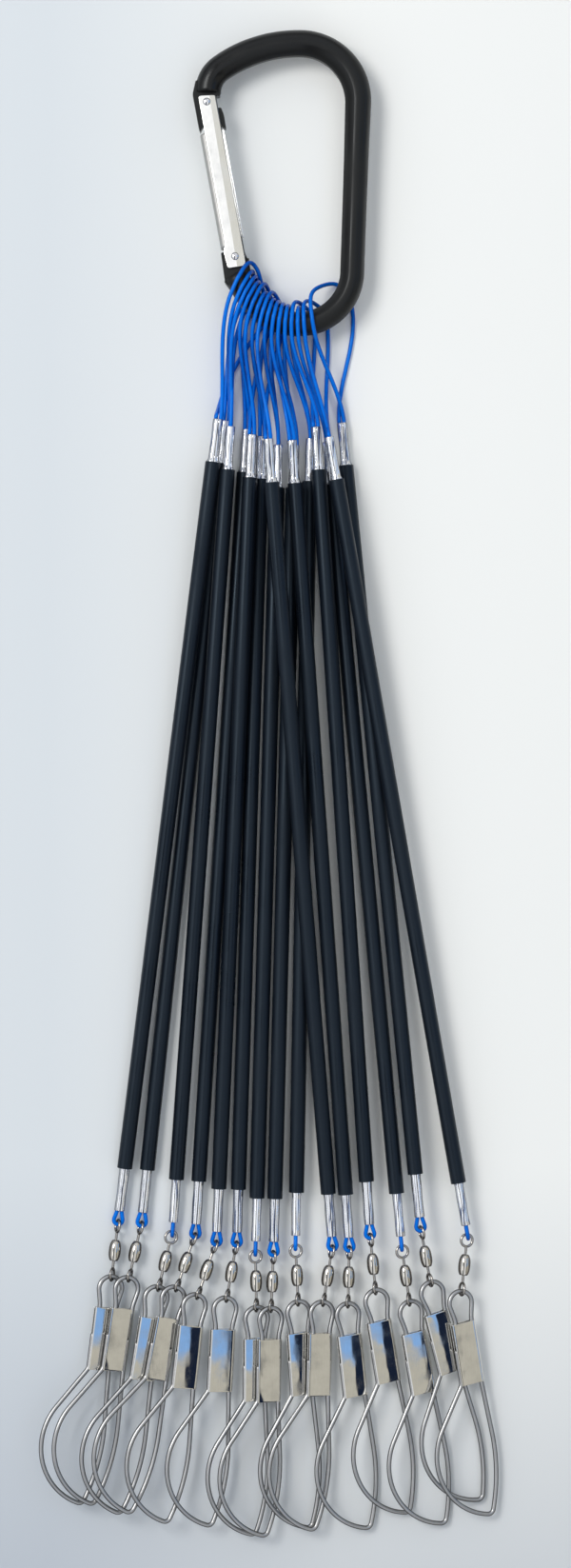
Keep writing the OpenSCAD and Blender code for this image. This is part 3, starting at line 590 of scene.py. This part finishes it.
def rounded(corners, radii, steps=6):
    """A flat outline with rounded corners: at each corner a quadratic curve from r before
    it to r after it, (1-t)^2 a + 2t(1-t) corner + t^2 b."""
    c = np.asarray(corners, float)
    r = np.asarray(radii, float)[:, None]
    back, ahead = np.roll(c, 1, 0) - c, np.roll(c, -1, 0) - c
    a, b = c + r * normed(back), c + r * normed(ahead)
    t = np.linspace(0, 1, steps)[None, :, None]
    curve = (1 - t) ** 2 * a[:, None] + 2 * t * (1 - t) * c[:, None] + t ** 2 * b[:, None]
    return curve.reshape(-1, 2)


def plate(name, outline, low, high, edge):
    """An outline extruded from low to high in the gate's frame, with bevelled edges."""
    n = len(outline)
    layers = [np.insert(outline, 2, z, axis=1) for z in (low, high)]
    faces = grid_faces(2, n).tolist() + [list(range(n))[::-1], list(range(n, 2 * n))]
    piece = new_piece(name, in_gate(np.concatenate(layers)), faces, smooth=False)
    bevel_edges(piece, edge, 3)
    return piece


# %% Tongues
# The outlines' corners are written in the gate's frame. The lower tongue is a block as
# wide as the bar, with a round top that the gate turns about; the upper one has a sloped
# shoulder, a narrow strip beside the gate and a hook under the latch pin's slot.
EAR_R, TONGUE_EDGE, GATE_EDGE = 2.8, 0.2, 0.14
block_outline = np.concatenate([
    rounded([[-3.5, -7.0], [3.0, -5.4], [3.3, -4.3], [3.45, -0.7]], [0.1, 0.3, 0.3, 0.5]),
    EAR_R * unit(np.radians(np.linspace(0, 140, 15))),
    rounded([[-2.9, 1.75], [-3.5, 1.7], [-3.85, -6.3]], [0.1, 0.4, 0.3])])
pivot_tongue = plate("pivot_tongue", block_outline, -TONGUE_T / 2, TONGUE_T / 2, TONGUE_EDGE)
hook_low = GATE_L - 4.4 * RIVET_D
slot_low, slot_high = GATE_L - 1.2 * RIVET_D, GATE_L + RIVET_D / 2 + 0.3
latch_outline = rounded(
    [[-3.3, hook_low + 0.8], [-3.1, hook_low - 0.3], [-2.1, hook_low + 1.2],
     [2.3, hook_low + 1.2], [3.0, hook_low], [3.75, hook_low - 0.6], [3.8, hook_low + 3.0],
     [3.4, slot_low], [-1.1, slot_low], [-1.1, slot_high], [3.7, slot_high], [4.1, 44.2],
     [4.7, 46.2], [-1.9, 47.3], [-3.3, 43.9]],
    [0.3, 0.2, 0.3, 0.3, 0.3, 0.2, 0.5, 0.4, 0.2, 0.2, 0.3, 0.4, 0.4, 0.4, 0.6])
latch_tongue = plate("latch_tongue", latch_outline, -TONGUE_T / 2, TONGUE_T / 2, TONGUE_EDGE)
for piece in (bar, pivot_tongue, latch_tongue):
    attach(piece, "carabiner")
    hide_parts("carabiner_frame")
print("hook from", round(hook_low, 1), "mm above the pivot")

# %% [markdown]
# ## Gate
# The gate is one strip of bright sheet: two flat plates, joined on the outer side by
# a round back. The plates run on past the back at both ends, where the pivot rivet and
# the latch pin hold them. A narrow lip runs down the open side and catches a
# thin line of light.

# %% The gate's sheet
top = gate_h / 2
side_from, side_to = 2.6, hook_low - 0.9
plate_outline = rounded([[-2.45, -2.75], [2.1, -2.85], [2.65, -0.5], [2.68, 3.8],
                         [2.62, GATE_L - 3.6], [2.7, GATE_L + 1.3], [-1.9, GATE_L + 1.9],
                         [-1.95, 3.6], [-2.75, 1.8]],
                        [0.5, 0.6, 0.4, 0.5, 0.5, 0.9, 0.8, 0.6, 0.5])
gate_pieces = [plate("gate_plate_top", plate_outline, top - GATE_WALL, top, GATE_EDGE),
               plate("gate_plate_under", plate_outline, -top, -top + GATE_WALL, GATE_EDGE)]
print("back", round(side_to - side_from, 1), "mm long")

# %% Creases of the plates
# each crease: where it crosses the pivot's level, its lean, and the sheet's fall beyond it
CREASES = ((0.1, 0.02, 0.11), (2.32, 0.0, 0.95))
for piece, mark in zip(gate_pieces, (1, -1)):
    for crease_x, crease_lean, fall in CREASES:
        cut = bmesh.new()
        cut.from_mesh(piece.data)
        spot, further = in_gate([[crease_x, 0, 0], [crease_x + crease_lean, 1, 0]]) * MM
        crease = normed(further - spot)
        way = np.array([crease[1], -crease[0], 0])
        bmesh.ops.bisect_plane(cut, geom=[*cut.verts, *cut.edges, *cut.faces],
                               plane_co=spot, plane_no=way)
        cut.to_mesh(piece.data)
        cut.free()
        place = np.empty(3 * len(piece.data.vertices), np.float32)
        piece.data.vertices.foreach_get("co", place)
        place = place.reshape(-1, 3)
        beyond = np.maximum(0, (place - spot) @ way)
        outer = (place[:, 2] / MM - BAR_Z) * mark > top - GATE_WALL * 0.7
        place[:, 2] -= mark * outer * beyond * fall
        piece.data.vertices.foreach_set("co", place.ravel())
        piece.data.update()


# %% The gate's back and lips
BACK_X, BACK_BEND, BACK_SLANT, BACK_WALL = -1.9, 1.42, 0.35, 0.7
LIP_X, LIP_R = 3.0, 0.17


def gate_back(push):
    """Section of the round back: a quarter bend from each plate and a straight between them.
    push moves it inwards; x = BACK_X - bend * sin, z = top - bend * (1 - cos)."""
    bend = BACK_BEND - push
    a = np.radians(np.linspace(0, 90, 10))
    half = np.stack([BACK_X - bend * np.sin(a), top - 0.04 - push - bend * (1 - np.cos(a))], axis=1)
    return np.concatenate([half, half[::-1] * [1, -1]])


along = np.array([0, 0.02, 0.2, 0.4, 0.6, 0.8, 0.98, 1.0])
grids = []
for push in (0.0, BACK_WALL):
    section = gate_back(push)
    x, share = np.meshgrid(section[:, 0], along)
    y = side_from + share * (side_to - side_from) + (BACK_X - x) * BACK_SLANT * (0.5 - share)
    grids.append(in_gate(np.stack([x, y, 0 * x + section[:, 1]], axis=-1)))
gate_pieces.append(sheet_solid("gate_back", *grids))
lip_line = in_gate([[LIP_X, side_from + 2.6, top - 0.6], [LIP_X, side_to * 0.5, top - 0.5],
                    [LIP_X, side_to, top - 0.6]])
for name, mirror in (("gate_lip_top", 1), ("gate_lip_under", -1)):
    line = lip_line * [1, 1, mirror] + [0, 0, (1 - mirror) * BAR_Z]
    gate_pieces.append(sweep(name, line, circle(LIP_R, 12), round_ends=LIP_R))
for piece in gate_pieces:
    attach(piece, "gate")
    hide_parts("gate_channel")
print("gate of", len(gate_pieces), "pieces")

# %% Rivets
# heights and radii of a rivet from its middle up: shank, then a domed head on the plate
rivet_up = np.array([0, *(top + np.array([-0.1, -0.05, 0.08, 0.24, 0.36, 0.44, 0.47]))])
rivet_r = np.array([0.7, 0.7, 1.0, 1.0, 0.88, 0.65, 0.35, 0.06])
rivets = []
for name, node, y in (("pivot_rivet", "gate_pivot_rivet", 0.0),
                      ("latch_rivet", "gate_latch_pin", GATE_L)):
    high = np.concatenate([-rivet_up[:0:-1], rivet_up])
    line = in_gate(np.stack([0 * high, 0 * high + y, high], axis=1))
    piece = sweep(name, line, circle(1.0, 24), (1.0, 0, 0),
                  np.concatenate([rivet_r[:0:-1], rivet_r]))
    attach(piece, "carabiner" if node == "gate_pivot_rivet" else "gate")
    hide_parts(node)
    rivets.append(piece)
print(len(rivets), "rivets")

# %% [markdown]
# ## Swivel barrels
# A barrel is turned from brass and plated. Its side is a gentle bulge with blunt
# ends, where the eyes' shanks come out. A sweep along its axis makes it: the
# outline stays round and only its scale changes along the way.

# %% Turn the barrels
BARREL_D, BARREL_L = 3.2, 5.5
BULGE_MID, BULGE_HALF, BULGE_POWER, RIM = -0.03, 0.58, 2.6, 0.86
half = np.array([0.12, 0.25, 0.34, 0.4, 0.44, 0.475, 0.495, 0.5])
share = np.concatenate([-half[::-1], [0], half])
# radius as a share of the largest: a flattened ellipse with blunt ends
bulge = np.sqrt(1 - (np.abs(share - BULGE_MID) / BULGE_HALF) ** BULGE_POWER)
bulge[[0, -1]] *= RIM
barrels = []
for k in range(LINES):
    centre = arch_at[k] + (ARCH_R + HANG + EYE_REACH) * swivel_way[k]
    path = lifted(k, centre + share[:, None] * BARREL_L * swivel_way[k])
    piece = sweep(f"barrel_{k + 1:02d}", path, circle(BARREL_D / 2, 28), plane_normal, bulge)
    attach(piece, f"barrel_{k + 1:02d}")
    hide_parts(f"swivel_barrel_{k + 1:02d}")
    barrels.append(piece)
print(len(barrels), "barrels, ends", round(BARREL_D * bulge[0], 2), "mm wide")

# %% [markdown]
# ## Finishes
# Three kinds of finish cover the object: bare metal, black coatings and the
# clear blue cable. Detail that several of them share sits in node groups:
# one makes fine drawn lines and smudges for metal, the other a faint grain
# for coated and moulded surfaces. The groups put out values only; the
# shader itself stays in each material.


# %% Node helpers
def new_group(name, inputs, outputs):
    """A shader node group with named float sockets, and its two end nodes."""
    group = bpy.data.node_groups.new(name, "ShaderNodeTree")
    for labels, direction in ((inputs, "INPUT"), (outputs, "OUTPUT")):
        for label in labels:
            group.interface.new_socket(label, in_out=direction, socket_type="NodeSocketFloat")
    return group, group.nodes.new("NodeGroupInput"), group.nodes.new("NodeGroupOutput")


def feed(tree, socket, value):
    """Links a socket to another node's output, or sets it to a number or a colour."""
    if isinstance(value, bpy.types.NodeSocket):
        tree.links.new(value, socket)
    else:
        socket.default_value = (*value, 1) if isinstance(value, tuple) else value


def math_node(tree, operation, *values, clamp=False):
    """A Math node fed by sockets or plain numbers."""
    node = tree.nodes.new("ShaderNodeMath")
    node.operation, node.use_clamp = operation, clamp
    for socket, value in zip(node.inputs, values):
        feed(tree, socket, value)
    return node.outputs[0]


def swing(tree, value, amount):
    """How far a noise is from its middle, times an amount: (value - 0.5) * amount."""
    return math_node(tree, "MULTIPLY", math_node(tree, "SUBTRACT", value, 0.5), amount)


def total(tree, a, b, c):
    """The sum of three values, held between 0 and 1."""
    return math_node(tree, "ADD", math_node(tree, "ADD", a, b), c, clamp=True)


def noise_node(tree, scale, detail, stretch=(1, 1, 1)):
    """The value of a noise texture on Object coordinates, stretched by three factors."""
    place = tree.nodes.new("ShaderNodeMapping")
    place.inputs["Scale"].default_value = stretch
    tree.links.new(tree.nodes.new("ShaderNodeTexCoord").outputs["Object"], place.inputs[0])
    node = tree.nodes.new("ShaderNodeTexNoise")
    node.inputs["Roughness"].default_value = 0.55
    for label, value in (("Vector", place.outputs[0]), ("Detail", detail), ("Scale", scale)):
        feed(tree, node.inputs[label], value)
    return node.outputs[0]


# %% Shared node groups
# drawn metal: long lines along the object's length, and wider soft smudges
drawn, drawn_in, drawn_out = new_group("drawn_metal", ["Lines", "Smudges", "Waves"],
                                       ["Line", "Smudge", "Height"])
line = swing(drawn, noise_node(drawn, 1.0, 2.0, (5200, 260, 5200)), drawn_in.outputs["Lines"])
smudge = swing(drawn, noise_node(drawn, 210.0, 4.0), drawn_in.outputs["Smudges"])
wave = swing(drawn, noise_node(drawn, 1.0, 1.0, (300, 120, 300)), drawn_in.outputs["Waves"])
for label, value in (("Line", line), ("Smudge", smudge),
                     ("Height", math_node(drawn, "MULTIPLY_ADD", line, 0.06, wave))):
    drawn.links.new(value, drawn_out.inputs[label])

# fine grain of coatings and plastics, with a slow change over the surface
grain, grain_in, grain_out = new_group("fine_grain", ["Scale", "Grain", "Drift"],
                                       ["Grain", "Drift"])
for label, noise in (("Grain", noise_node(grain, grain_in.outputs["Scale"], 2.0)),
                     ("Drift", noise_node(grain, 45.0, 3.0))):
    grain.links.new(swing(grain, noise, grain_in.outputs[label]), grain_out.inputs[label])
print("node groups:", len(bpy.data.node_groups))


# %% Material helpers
def new_material(name, color, metallic, roughness, coat=0.0, coat_roughness=0.1, level=0.5,
                 tint=(1, 1, 1)):
    """A material with one Principled shader and its plain values."""
    material = bpy.data.materials.new(name)
    material.use_nodes = True
    shader = material.node_tree.nodes["Principled BSDF"]
    for label, value in (("Base Color", color), ("Metallic", metallic), ("Roughness", roughness),
                         ("Coat Weight", coat), ("Coat Roughness", coat_roughness), ("IOR", 1.45),
                         ("Specular IOR Level", level), ("Specular Tint", tint)):
        feed(material.node_tree, shader.inputs[label], value)
    return material, material.node_tree, shader


def use_group(tree, group, **values):
    """Places a node group and sets its named inputs."""
    node = tree.nodes.new("ShaderNodeGroup")
    node.node_tree = group
    for label, value in values.items():
        node.inputs[label].default_value = value
    return node


def color_between(tree, share, low, high):
    """A colour that runs from low to high with the share; both are sockets or colours."""
    node = tree.nodes.new("ShaderNodeMix")
    node.data_type = "RGBA"
    for i, value in ((0, share), (6, low), (7, high)):
        feed(tree, node.inputs[i], value)
    return node.outputs[2]


def bump(tree, shader, height, strength, distance):
    """A Bump node from a height to the shader's normal."""
    node = tree.nodes.new("ShaderNodeBump")
    for label, value in (("Strength", strength), ("Distance", distance), ("Height", height)):
        feed(tree, node.inputs[label], value)
    tree.links.new(node.outputs[0], shader.inputs["Normal"])


def painted_edge_shade(tree, color, dark, start, width):
    """Painted shade at the rims: the colour turns to the dark one where the surface turns
    away from the eye, by (facing - start) / width, held between 0 and 1."""
    weight = tree.nodes.new("ShaderNodeLayerWeight")
    weight.inputs["Blend"].default_value = 0.5
    beyond = math_node(tree, "SUBTRACT", weight.outputs["Facing"], start)
    return color_between(tree, math_node(tree, "DIVIDE", beyond, width, clamp=True), color, dark)


def metal(name, low, high, roughness, lines, smudges, waves, distance=0.00002, edge=None):
    """Bare metal: colour and roughness follow the drawn lines and smudges. edge is the
    dark colour, start and width of a painted shade at the rims."""
    material, tree, shader = new_material(name, high, 1.0, roughness)
    group = use_group(tree, drawn, Lines=lines, Smudges=smudges, Waves=waves)
    color = color_between(tree, total(tree, group.outputs["Line"], group.outputs["Smudge"], 0.5),
                          low, high)
    # painted shade: the colour darkens towards the rims where the surface turns away
    if edge:
        color = painted_edge_shade(tree, color, *edge)
    tree.links.new(color, shader.inputs["Base Color"])
    rough = math_node(tree, "MULTIPLY_ADD", group.outputs["Smudge"], -0.35, roughness, clamp=True)
    tree.links.new(rough, shader.inputs["Roughness"])
    bump(tree, shader, group.outputs["Height"], 0.6, distance)
    return material


# %% Metals
# the edge values of these metals paint shade at their rims
clasp_steel = metal("polished_clasp_steel", (0.66, 0.65, 0.62), (0.88, 0.87, 0.84),
                    0.06, 0.4, 0.9, 1.0, 0.00005)
wire_steel = metal("satin_spring_wire", (0.40, 0.40, 0.41), (0.58, 0.58, 0.57),
                   0.34, 0.8, 0.6, 0.2, edge=((0.05, 0.05, 0.05), 0.12, 0.4))
nickel = metal("plated_swivel_nickel", (0.56, 0.53, 0.48), (0.78, 0.75, 0.69),
               0.05, 0.3, 0.3, 0.3, edge=((0.06, 0.048, 0.04), 0.18, 0.26))
eye_nickel = metal("swivel_eye_nickel", (0.36, 0.34, 0.32), (0.60, 0.57, 0.53),
                   0.16, 0.4, 0.5, 0.3, edge=((0.05, 0.04, 0.035), 0.15, 0.35))
aluminium = metal("drawn_crimp_aluminium", (0.84, 0.87, 0.92), (0.99, 0.99, 1.0),
                  0.12, 0.7, 0.3, 0.3, edge=((0.05, 0.06, 0.08), 0.28, 0.3))
gate_steel = metal("bright_gate_steel", (0.86, 0.86, 0.84), (0.98, 0.98, 0.97),
                   0.16, 0.7, 0.5, 0.3)
# the gate's round back: the same steel painted darker as painted shade, and rougher
shaded_gate_back = metal("gate_side_steel", (0.44, 0.44, 0.43), (0.56, 0.56, 0.54),
                  0.55, 0.7, 0.5, 0.3)
pin_steel = metal("rivet_steel", (0.70, 0.70, 0.72), (0.90, 0.90, 0.92),
                  0.14, 0.3, 0.6, 0.2, edge=((0.05, 0.05, 0.055), 0.3, 0.3))

# %% Dark streaks of the crimps, each as long as the crimp
STREAK, STREAK_SHARE, STREAK_EDGE = (0.17, 0.21, 0.32), 0.345, 11.0
tree = aluminium.node_tree
shader = tree.nodes["Principled BSDF"]
shader.inputs["Metallic"].default_value = 0.88
wide = noise_node(tree, 1.0, 1.0, (2100, 50, 2100))
clear = math_node(tree, "MULTIPLY", math_node(tree, "SUBTRACT", wide, STREAK_SHARE),
                  STREAK_EDGE, clamp=True)
base = shader.inputs["Base Color"]
tree.links.new(color_between(tree, clear, STREAK, base.links[0].from_socket), base)

# %% [markdown]
# ## Black coatings
# The carabiner is anodised: a hard thin film over satin aluminium, so it is
# almost black face-on and shows a wide soft sheen. The sleeves are plain black
# tube, softer and a little bluer in their highlights.

# %% Black finishes
def black_finish(name, color, coat, level, tint, low, high, relief, **grain_values):
    """A dark coating: the grain moves its colour from low to high, the slow drift its
    roughness."""
    material, tree, shader = new_material(name, color, 0.0, 0.36, coat, 0.25, level, tint)
    fine, drift = use_group(tree, grain, **grain_values).outputs
    tree.links.new(color_between(tree, total(tree, fine, drift, 0.5), low, high),
                   shader.inputs["Base Color"])
    tree.links.new(math_node(tree, "ADD", drift, 0.4, clamp=True), shader.inputs["Roughness"])
    bump(tree, shader, fine, relief, 0.00002)
    return material


anodised = black_finish("black_anodised", (0.008, 0.009, 0.011), 0.05, 0.36, (0.88, 0.92, 0.94),
                        (0.004, 0.004, 0.005), (0.013, 0.013, 0.012), 0.25,
                        Scale=5200.0, Grain=0.8, Drift=0.9)
sleeve = black_finish("black_sleeve_tube", (0.004, 0.006, 0.010), 0.04, 0.4, (0.60, 0.80, 1.0),
                      (0.002, 0.004, 0.008), (0.007, 0.010, 0.016), 0.2,
                      Scale=2600.0, Grain=0.7, Drift=1.0)

# %% [markdown]
# ## Blue cable
# The cable's coat is clear tinted plastic over fine wire. Face-on the light
# reaches the bright core; at the edges it passes through more of the tint and
# turns deep blue. Layer Weight gives exactly that change with the angle.

# %% Blue finish
blue, tree, shader = new_material("clear_blue_coat", (0.0, 0.18, 0.78), 0.0, 0.22, 0.04, 0.08,
                                  0.4, (0.25, 0.60, 1.0))
fine, drift = use_group(tree, grain, Scale=1500.0, Grain=0.3, Drift=1.7).outputs
edge = tree.nodes.new("ShaderNodeLayerWeight")
edge.inputs["Blend"].default_value = 0.38
depth = total(tree, fine, drift, edge.outputs["Facing"])
tree.links.new(color_between(tree, depth, (0.0, 0.175, 0.78), (0.0, 0.02, 0.25)),
               shader.inputs["Base Color"])
bump(tree, shader, fine, 0.08, 0.00002)
print("blue coat nodes:", len(tree.nodes))

# %% Give every piece its finish
for name, material in (("gate_plunger", pin_steel), ("gate_spring", wire_steel),
                       ("leader_cables", blue), ("sleeve_tubes", sleeve),
                       ("swivel_top_eyes", eye_nickel), ("swivel_bottom_eyes", eye_nickel)):
    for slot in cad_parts[name].material_slots:
        slot.material = material
for pieces, material in ((loops, blue), (crimps, aluminium), (wires, wire_steel),
                         (clasps, clasp_steel), ((bar, pivot_tongue, latch_tongue), anodised),
                         (gate_pieces, gate_steel), (rivets, pin_steel), (barrels, nickel)):
    for piece in pieces:
        piece.data.materials.append(shaded_gate_back if piece.name == "gate_back" else material)
print(len(bpy.data.materials), "materials")

# %% [markdown]
# ## Loop transforms
# Each loop's transform goes into its mesh, so its points stay where
# they are and the object sits at the origin.

# %% Bake the loops' transforms
for piece in loops:
    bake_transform(piece)

# %% [markdown]
# ## Floor and lamp
# A pale blue-grey sheet carries the object. One large soft lamp from the upper
# left makes the shadows fall to the right as in the photo, and the room round the
# table fills them.

# %% Floor
FLOOR_HALF, FLOOR_LEVEL = 3.0, -0.00003
corners = FLOOR_HALF * np.array([[-1, -1, 0], [1, -1, 0], [1, 1, 0], [-1, 1, 0]])
floor = new_piece("floor", (corners + [0, 0, FLOOR_LEVEL]) / MM, [[0, 1, 2, 3]], smooth=False)
paper, tree, shader = new_material("pale_sheet", (0.78, 0.82, 0.88), 0.0, 0.7, level=0.2)
paper_way = tree.nodes.new("ShaderNodeSeparateXYZ")
tree.links.new(tree.nodes.new("ShaderNodeTexCoord").outputs["Object"], paper_way.inputs[0])
# painted light and shade: brighter to the right and to the top, darker towards the bottom; slope
# per metre, value at the middle
to_right = math_node(tree, "MULTIPLY_ADD", paper_way.outputs[0], 13.0, 0.76, clamp=True)
to_top = math_node(tree, "MULTIPLY_ADD", paper_way.outputs[1], 9.0, 1.9, clamp=True)
across = color_between(tree, to_right, (0.745, 0.79, 0.82), (0.96, 0.97, 0.945))
painted_shade_below = color_between(tree, to_right, (0.535, 0.58, 0.635), (0.67, 0.70, 0.72))
tree.links.new(color_between(tree, to_top, painted_shade_below, across), shader.inputs["Base Color"])
floor.data.materials.append(paper)
print("floor", 2 * FLOOR_HALF, "m wide")

# %% Lamp
LAMP_PLACE = np.array([-0.75, 0.5, 1.3])
light = bpy.data.lights.new("key", "AREA")
light.energy, light.size, light.color = 10.6, 0.6, (1.0, 0.98, 0.95)
lamp = bpy.data.objects.new("key", light)
bpy.context.collection.objects.link(lamp)
lamp.location = LAMP_PLACE
# turned towards the origin: first down from straight below, then about Z
way = normed(-LAMP_PLACE)
lamp.rotation_euler = (np.arccos(-way[2]), 0, np.arctan2(-way[0], way[1]))
print("lamp", light.energy, "W")

# %% [markdown]
# ## The room that metal mirrors
# Seen from straight above, a round bar mirrors the whole sky across its width: its
# middle shows what is overhead, its edges what is low down. The dark figure that
# leans over the table gives the narrow dark core streak, the bright ceiling and two
# white windows the light beside it, and the low walls the dark edges. The clasps
# slope to the right, so they look at one patch of the sky on that side, where a light
# blue window, a dark panel and a beige wall meet.

# %% World
world = bpy.data.worlds.new("room")
bpy.context.scene.world = world
world.use_nodes = True
room = world.node_tree
room_way = room.nodes.new("ShaderNodeSeparateXYZ")
room.links.new(room.nodes.new("ShaderNodeTexCoord").outputs["Generated"], room_way.inputs[0])
way_x, way_y, way_z = room_way.outputs


def ramp(value, low, high):
    """0 below low, 1 above high and a straight rise between."""
    node = room.nodes.new("ShaderNodeMapRange")
    node.inputs["From Min"].default_value, node.inputs["From Max"].default_value = low, high
    room.links.new(value, node.inputs["Value"])
    return node.outputs[0]


def patch(x0, x1, y0, y1, soft=0.02):
    """1 inside a rectangle of directions, 0 outside, with soft borders."""
    sides = [ramp(way_x, x0 - soft, x0 + soft), ramp(way_x, x1 + soft, x1 - soft),
             ramp(way_y, y0 - soft, y0 + soft), ramp(way_y, y1 + soft, y1 - soft)]
    return math_node(room, "MULTIPLY", math_node(room, "MULTIPLY", sides[0], sides[1]),
                     math_node(room, "MULTIPLY", sides[2], sides[3]))


# colours painted over the wall, each with its patch: x from and to, y from and to, softness
LIGHT_BLUE, NAVY, BEIGE = (0.30, 0.55, 1.0), (0.012, 0.02, 0.045), (0.62, 0.60, 0.53)
wall = color_between(room, ramp(way_z, 0.05, 0.55), (0.09, 0.085, 0.08), (0.92, 0.95, 1.0))
for color, *place in ((BEIGE, 0.46, 0.97, -0.7, 0.7),
                      (LIGHT_BLUE, 0.50, 0.64, -0.165, 0.5, 0.003),
                      (NAVY, 0.64, 0.74, -0.6, 0.0, 0.003),
                      (LIGHT_BLUE, 0.86, 0.95, -0.15, 0.4, 0.003),
                      ((0.02, 0.022, 0.03), -0.38, -0.08, -0.95, 0.6, 0.03),
                      ((2.2, 2.2, 2.2), -0.58, -0.42, -0.3, -0.03),
                      ((1.35, 1.35, 1.35), -0.07, 0.09, 0.12, 0.25),
                      ((0.72, 0.70, 0.62), 0.10, 0.34, 0.12, 0.25)):
    wall = color_between(room, patch(*place), wall, color)
background = room.nodes["Background"]
room.links.new(wall, background.inputs["Color"])
background.inputs["Strength"].default_value = 0.9
print("room nodes:", len(room.nodes))
